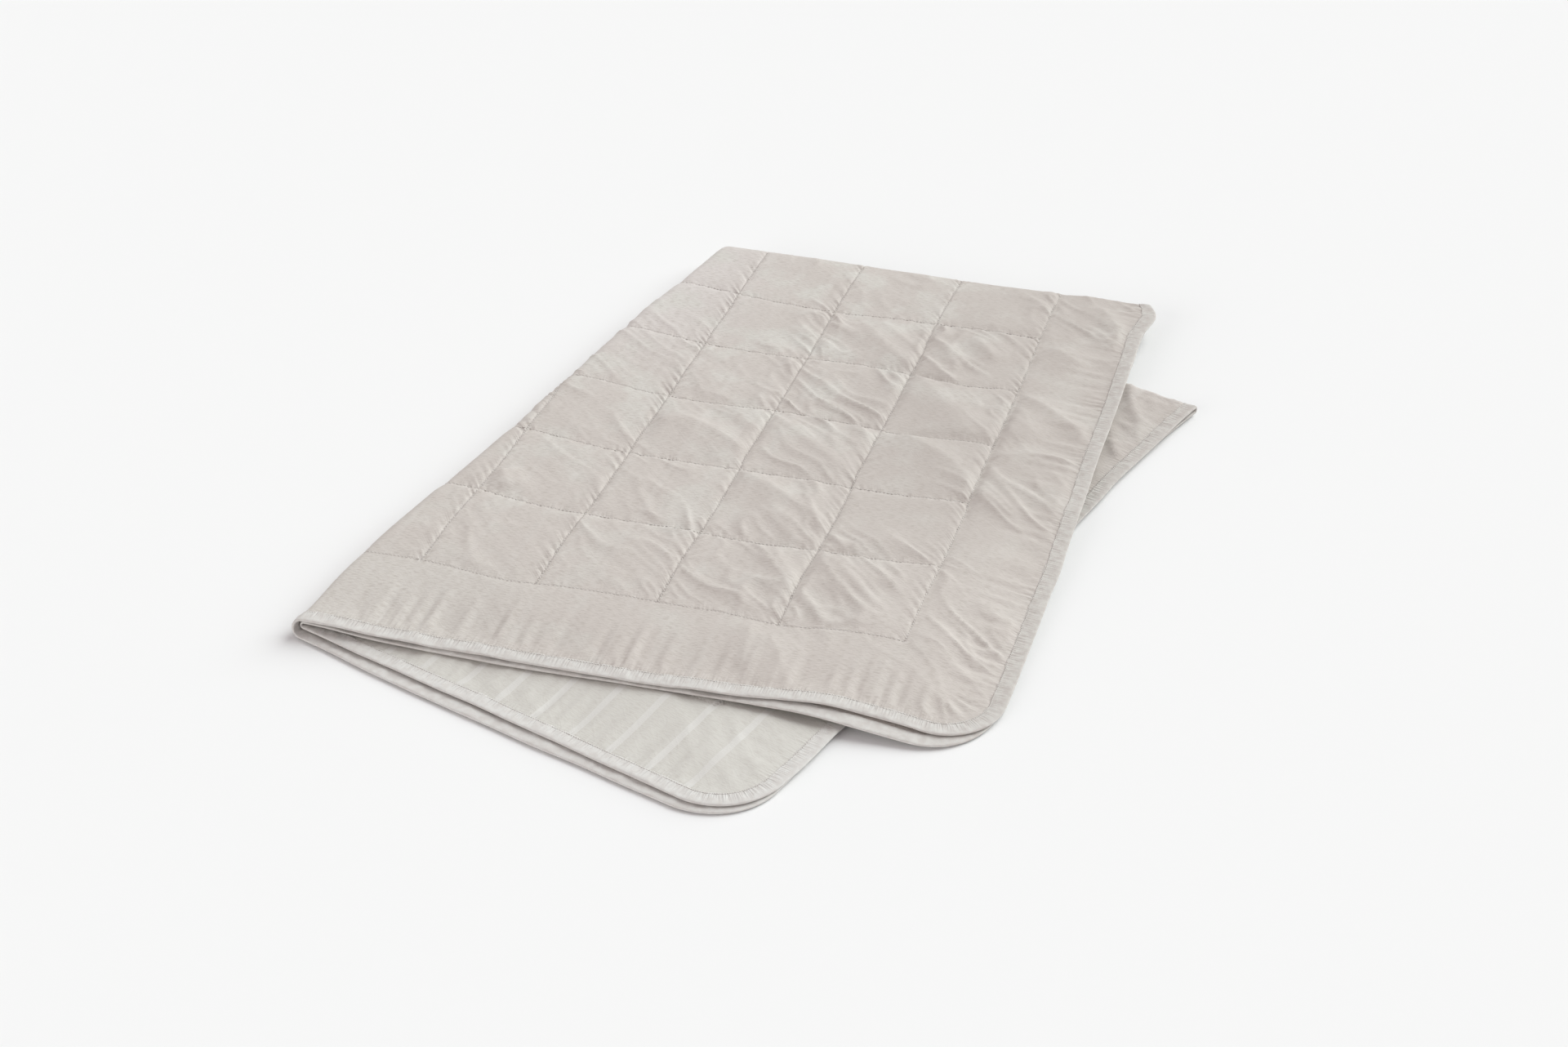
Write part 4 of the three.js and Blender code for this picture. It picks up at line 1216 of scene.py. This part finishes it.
def tape_weave():
    """Plain tape: fine ribs across its width, a soft unevenness, and gathers that fade away from the
    sewn edge on top."""
    group, given, result = node_group(
        "tape weave", ["Tape"], {"Rib": 0.9, "Gather": 2.6}, ["Height", "Shade"])
    run, girth = parts_of(group, given["Tape"])
    rib = arithmetic(group, "SINE", product(group, quotient(group, run, given["Rib"]), 2 * math.pi))
    noise = flat_noise(group, scaled(group, given["Tape"], TAPE_MOTTLE_SCALE), detail=3.0)
    spot = on_plane(group, quotient(group, run, given["Gather"]), product(group, girth, GATHER_STRETCH))
    near_seam = soft_range(group, girth, *TAPE_GATHER_FROM_SEAM)
    gathered = product(group, flat_noise(group, spot), near_seam)
    height = product_plus(group, rib, TAPE_RIB_HEIGHT, noise)
    height = product_plus(group, gathered, TAPE_GATHER_HEIGHT, height)
    group.links.new(height, result["Height"])
    group.links.new(noise, result["Shade"])
    return group


TAPE_WEAVE = tape_weave()

# The tape's colours at the back and sides, and paler with painted light at the front
TAPE_BACK_AND_SIDES = ((0.545, 0.505, 0.475, 1), (0.61, 0.585, 0.55, 1))
TAPE_PAINTED_LIGHT = ((0.655, 0.628, 0.60, 1), (0.705, 0.69, 0.665, 1))
TAPE_SHADE_EDGE = (0.35, 0.65)
TAPE_LIGHT_TO_FRONT = (-0.3, -0.48)


def binding_tape():
    """Off-white cotton tape, duller than the cloth at the back and sides, with painted light that makes it
    paler towards the front, and with ribs and a soft unevenness of tone."""
    material, tree, shader = new_material("binding_tape")
    weave = add_node(tree, "Group", {"node_tree": TAPE_WEAVE}, Tape=map_in_millimetres(tree, "tape"))
    shade = even_range(tree, weave.outputs["Shade"], *TAPE_SHADE_EDGE)
    _, place_y = parts_of(tree, add_node(tree, "TexCoord").outputs["Object"])
    # Painted light: the tape turns paler towards the front, where the light from the front falls on it
    painted_light_to_front = soft_range(tree, place_y, *TAPE_LIGHT_TO_FRONT)
    colour = blended(tree, painted_light_to_front, blended(tree, shade, *TAPE_BACK_AND_SIDES), blended(tree, shade, *TAPE_PAINTED_LIGHT))
    tree.links.new(colour, shader.inputs["Base Color"])
    rough = even_range(tree, weave.outputs["Shade"], 0.0, 1.0, 0.9, 0.75)
    tree.links.new(rough, shader.inputs["Roughness"])
    shader.inputs["Specular IOR Level"].default_value = CLOTH_SPECULAR
    shader.inputs["Sheen Weight"].default_value = CLOTH_SHEEN
    bump = add_node(tree, "Bump", Strength=0.6, Distance=0.4 * METRE, Height=weave.outputs["Height"])
    tree.links.new(bump.outputs[0], shader.inputs["Normal"])
    return material


TAPE = binding_tape()

crease_crossings = (
    (-100, -LENGTH / 2), (-100, LENGTH / 2), (WIDTH / 2, BACK_CREASE_T), (-WIDTH / 2, BACK_CREASE_T))
hem_s, hem_t, way_s, way_t, hem_run = hem_stations(crease_crossings)
near_side = np.array(TAPE_SECTION)
far_side = near_side[-2::-1] * (1, -1, 1)
section = np.concatenate((near_side, far_side, TAPE_INSIDE))
section_in, section_up, section_crimp = section.T[:, None]
inward = section_in * np.ones((len(hem_s), 1))
share = hem_run[:, None] / HEM_LENGTH
edge_wander = TAPE_EDGE_WANDER * soft_noise(EDGE_WANDERS_ROUND * share, 0 * share, seed=20)
inward = inward + edge_wander * smooth(*TAPE_EDGE, inward)
crimp = soft_noise(CRIMPS_ROUND * share + CRIMP_SLANT * inward, inward / CRIMP_SPREAD, seed=21)
crimp = TAPE_CRIMP * crimp + SWELL * soft_noise(SWELLS_ROUND * share, inward / SWELL_SPREAD, seed=22)
height = section_up + np.sign(section_up) * section_crimp * crimp
clear = np.sign(height) * np.maximum(np.abs(height), TAPE_CLEARANCE)
height = np.where(section_crimp > HELD_CLEAR_FROM, clear, height)
tape_s = hem_s[:, None] + way_s[:, None] * inward
tape_t = hem_t[:, None] + way_t[:, None] * inward
tape_points = on_cloth(tape_s, tape_t, height)
stations, around = tape_s.shape
number = np.arange(stations * around).reshape(stations, around)
ahead, beside = np.roll(number, -1, 0), np.roll(number, -1, 1)
tape_faces = np.stack((number, ahead, np.roll(ahead, -1, 1), beside), -1).reshape(-1, 4)
binding = new_piece("hem_binding", tape_points, (tape_faces,), TAPE)
girth = np.concatenate(([0], np.cumsum(np.hypot(*np.diff(section[:, :2], axis=0).T))))
next_run = np.append(hem_run[1:], HEM_LENGTH)
next_girth = np.append(girth[1:], girth[-1] + LAST_GIRTH_STEP)
corner_run = np.stack((hem_run, next_run, next_run, hem_run), -1)[:, None] + np.zeros((1, around, 1))
corner_girth = np.stack((girth, girth, next_girth, next_girth), -1)[None] + np.zeros((stations, 1, 1))
lay_out(binding, "tape", corner_run, corner_girth)
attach(binding, "root")
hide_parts("edge_binding")

# The tape's stitches
# The same thread holds the tape, sewn through both of its edges and the cloth in one row of short
# stitches all round the hem. The thread is pulled down into the tape, so only its back stands clear.
TAPE_SEAM_INSET = 16.4
TAPE_STITCHES = 2050
TAPE_STITCH_LENGTH = 2.9
TAPE_THREAD_LIFT = 0.15
TAPE_THREAD_SUNK = 0.5

turned_s, turned_t = np.append(hem_s, hem_s[0]), np.append(hem_t, hem_t[0])
turned_way_s, turned_way_t = np.append(way_s, way_s[0]), np.append(way_t, way_t[0])
around_run = HEM_LENGTH * (np.arange(TAPE_STITCHES) + 0.5) / TAPE_STITCHES
ring_run = np.append(hem_run, HEM_LENGTH)
in_s, in_t = np.interp(around_run, ring_run, turned_way_s), np.interp(around_run, ring_run, turned_way_t)
tape_seam_s = np.interp(around_run, ring_run, turned_s) + TAPE_SEAM_INSET * in_s
tape_seam_t = np.interp(around_run, ring_run, turned_t) + TAPE_SEAM_INSET * in_t
thread_s, thread_t, thread_height = thread_points(
    tape_seam_s, tape_seam_t, in_t, -in_s, TAPE_STITCH_LENGTH, seed=31)
thread_height = TAPE_SECTION[2].height + TAPE_THREAD_LIFT + TAPE_THREAD_SUNK * thread_height
tape_thread = on_cloth(thread_s, thread_t, thread_height)
tape_stitches = new_piece("tape_stitches", tape_thread, thread_faces(TAPE_STITCHES), THREAD)
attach(tape_stitches, "root")

# The stage
# A plain pale floor, a broad soft light behind the duvet at the right, a weaker one low in front at
# the left, and weak light all round.
FLOOR_REACH = 9.0
FLOOR_DROP = 0.0005
FLOOR_SHADE = (0.9, 0.9, 0.9, 1)
SKY = (1.07, 0.985, 0.995, 1)
SKY_STRENGTH = 0.38

floor_mesh = bpy.data.meshes.new("floor")
corners = [(FLOOR_REACH * x, FLOOR_REACH * y, 0) for x, y in ((-1, -1), (1, -1), (1, 1), (-1, 1))]
floor_mesh.from_pydata(corners, [], [(0, 1, 2, 3)])
floor_material, _, floor_shader = new_material("floor")
floor_shader.inputs["Base Color"].default_value = FLOOR_SHADE
floor_shader.inputs["Roughness"].default_value = 1.0
floor_shader.inputs["Specular IOR Level"].default_value = 0.0
floor_mesh.materials.append(floor_material)
floor = bpy.data.objects.new("floor", floor_mesh)
floor.location = (0, 0, -FLOOR_DROP)
bpy.context.collection.objects.link(floor)


def sun_light(name, azimuth, elevation, softness, strength, colour):
    """A distant light from an azimuth and elevation in degrees, with azimuth 0 in front and 90 at the
    right. Its softness is the angle that it takes up in the sky."""
    light = bpy.data.objects.new(name, bpy.data.lights.new(name, "SUN"))
    light.data.energy = strength
    light.data.color = colour
    light.data.angle = math.radians(softness)
    turn, lift = math.radians(azimuth), math.radians(elevation)
    source = Vector((math.sin(turn) * math.cos(lift), -math.cos(turn) * math.cos(lift), math.sin(lift)))
    light.rotation_euler = source.to_track_quat("Z", "Y").to_euler()
    bpy.context.collection.objects.link(light)


sun_light("key", azimuth=140, elevation=34, softness=55, strength=3.25, colour=(0.95, 1.01, 1.0))
sun_light("fill", azimuth=-30, elevation=12, softness=40, strength=1.2, colour=(1, 0.99, 0.98))
world = bpy.data.worlds.new("world")
world.use_nodes = True
world.node_tree.nodes["Background"].inputs["Color"].default_value = SKY
world.node_tree.nodes["Background"].inputs["Strength"].default_value = SKY_STRENGTH
bpy.context.scene.world = world
bpy.context.scene.view_settings.view_transform = "Standard"
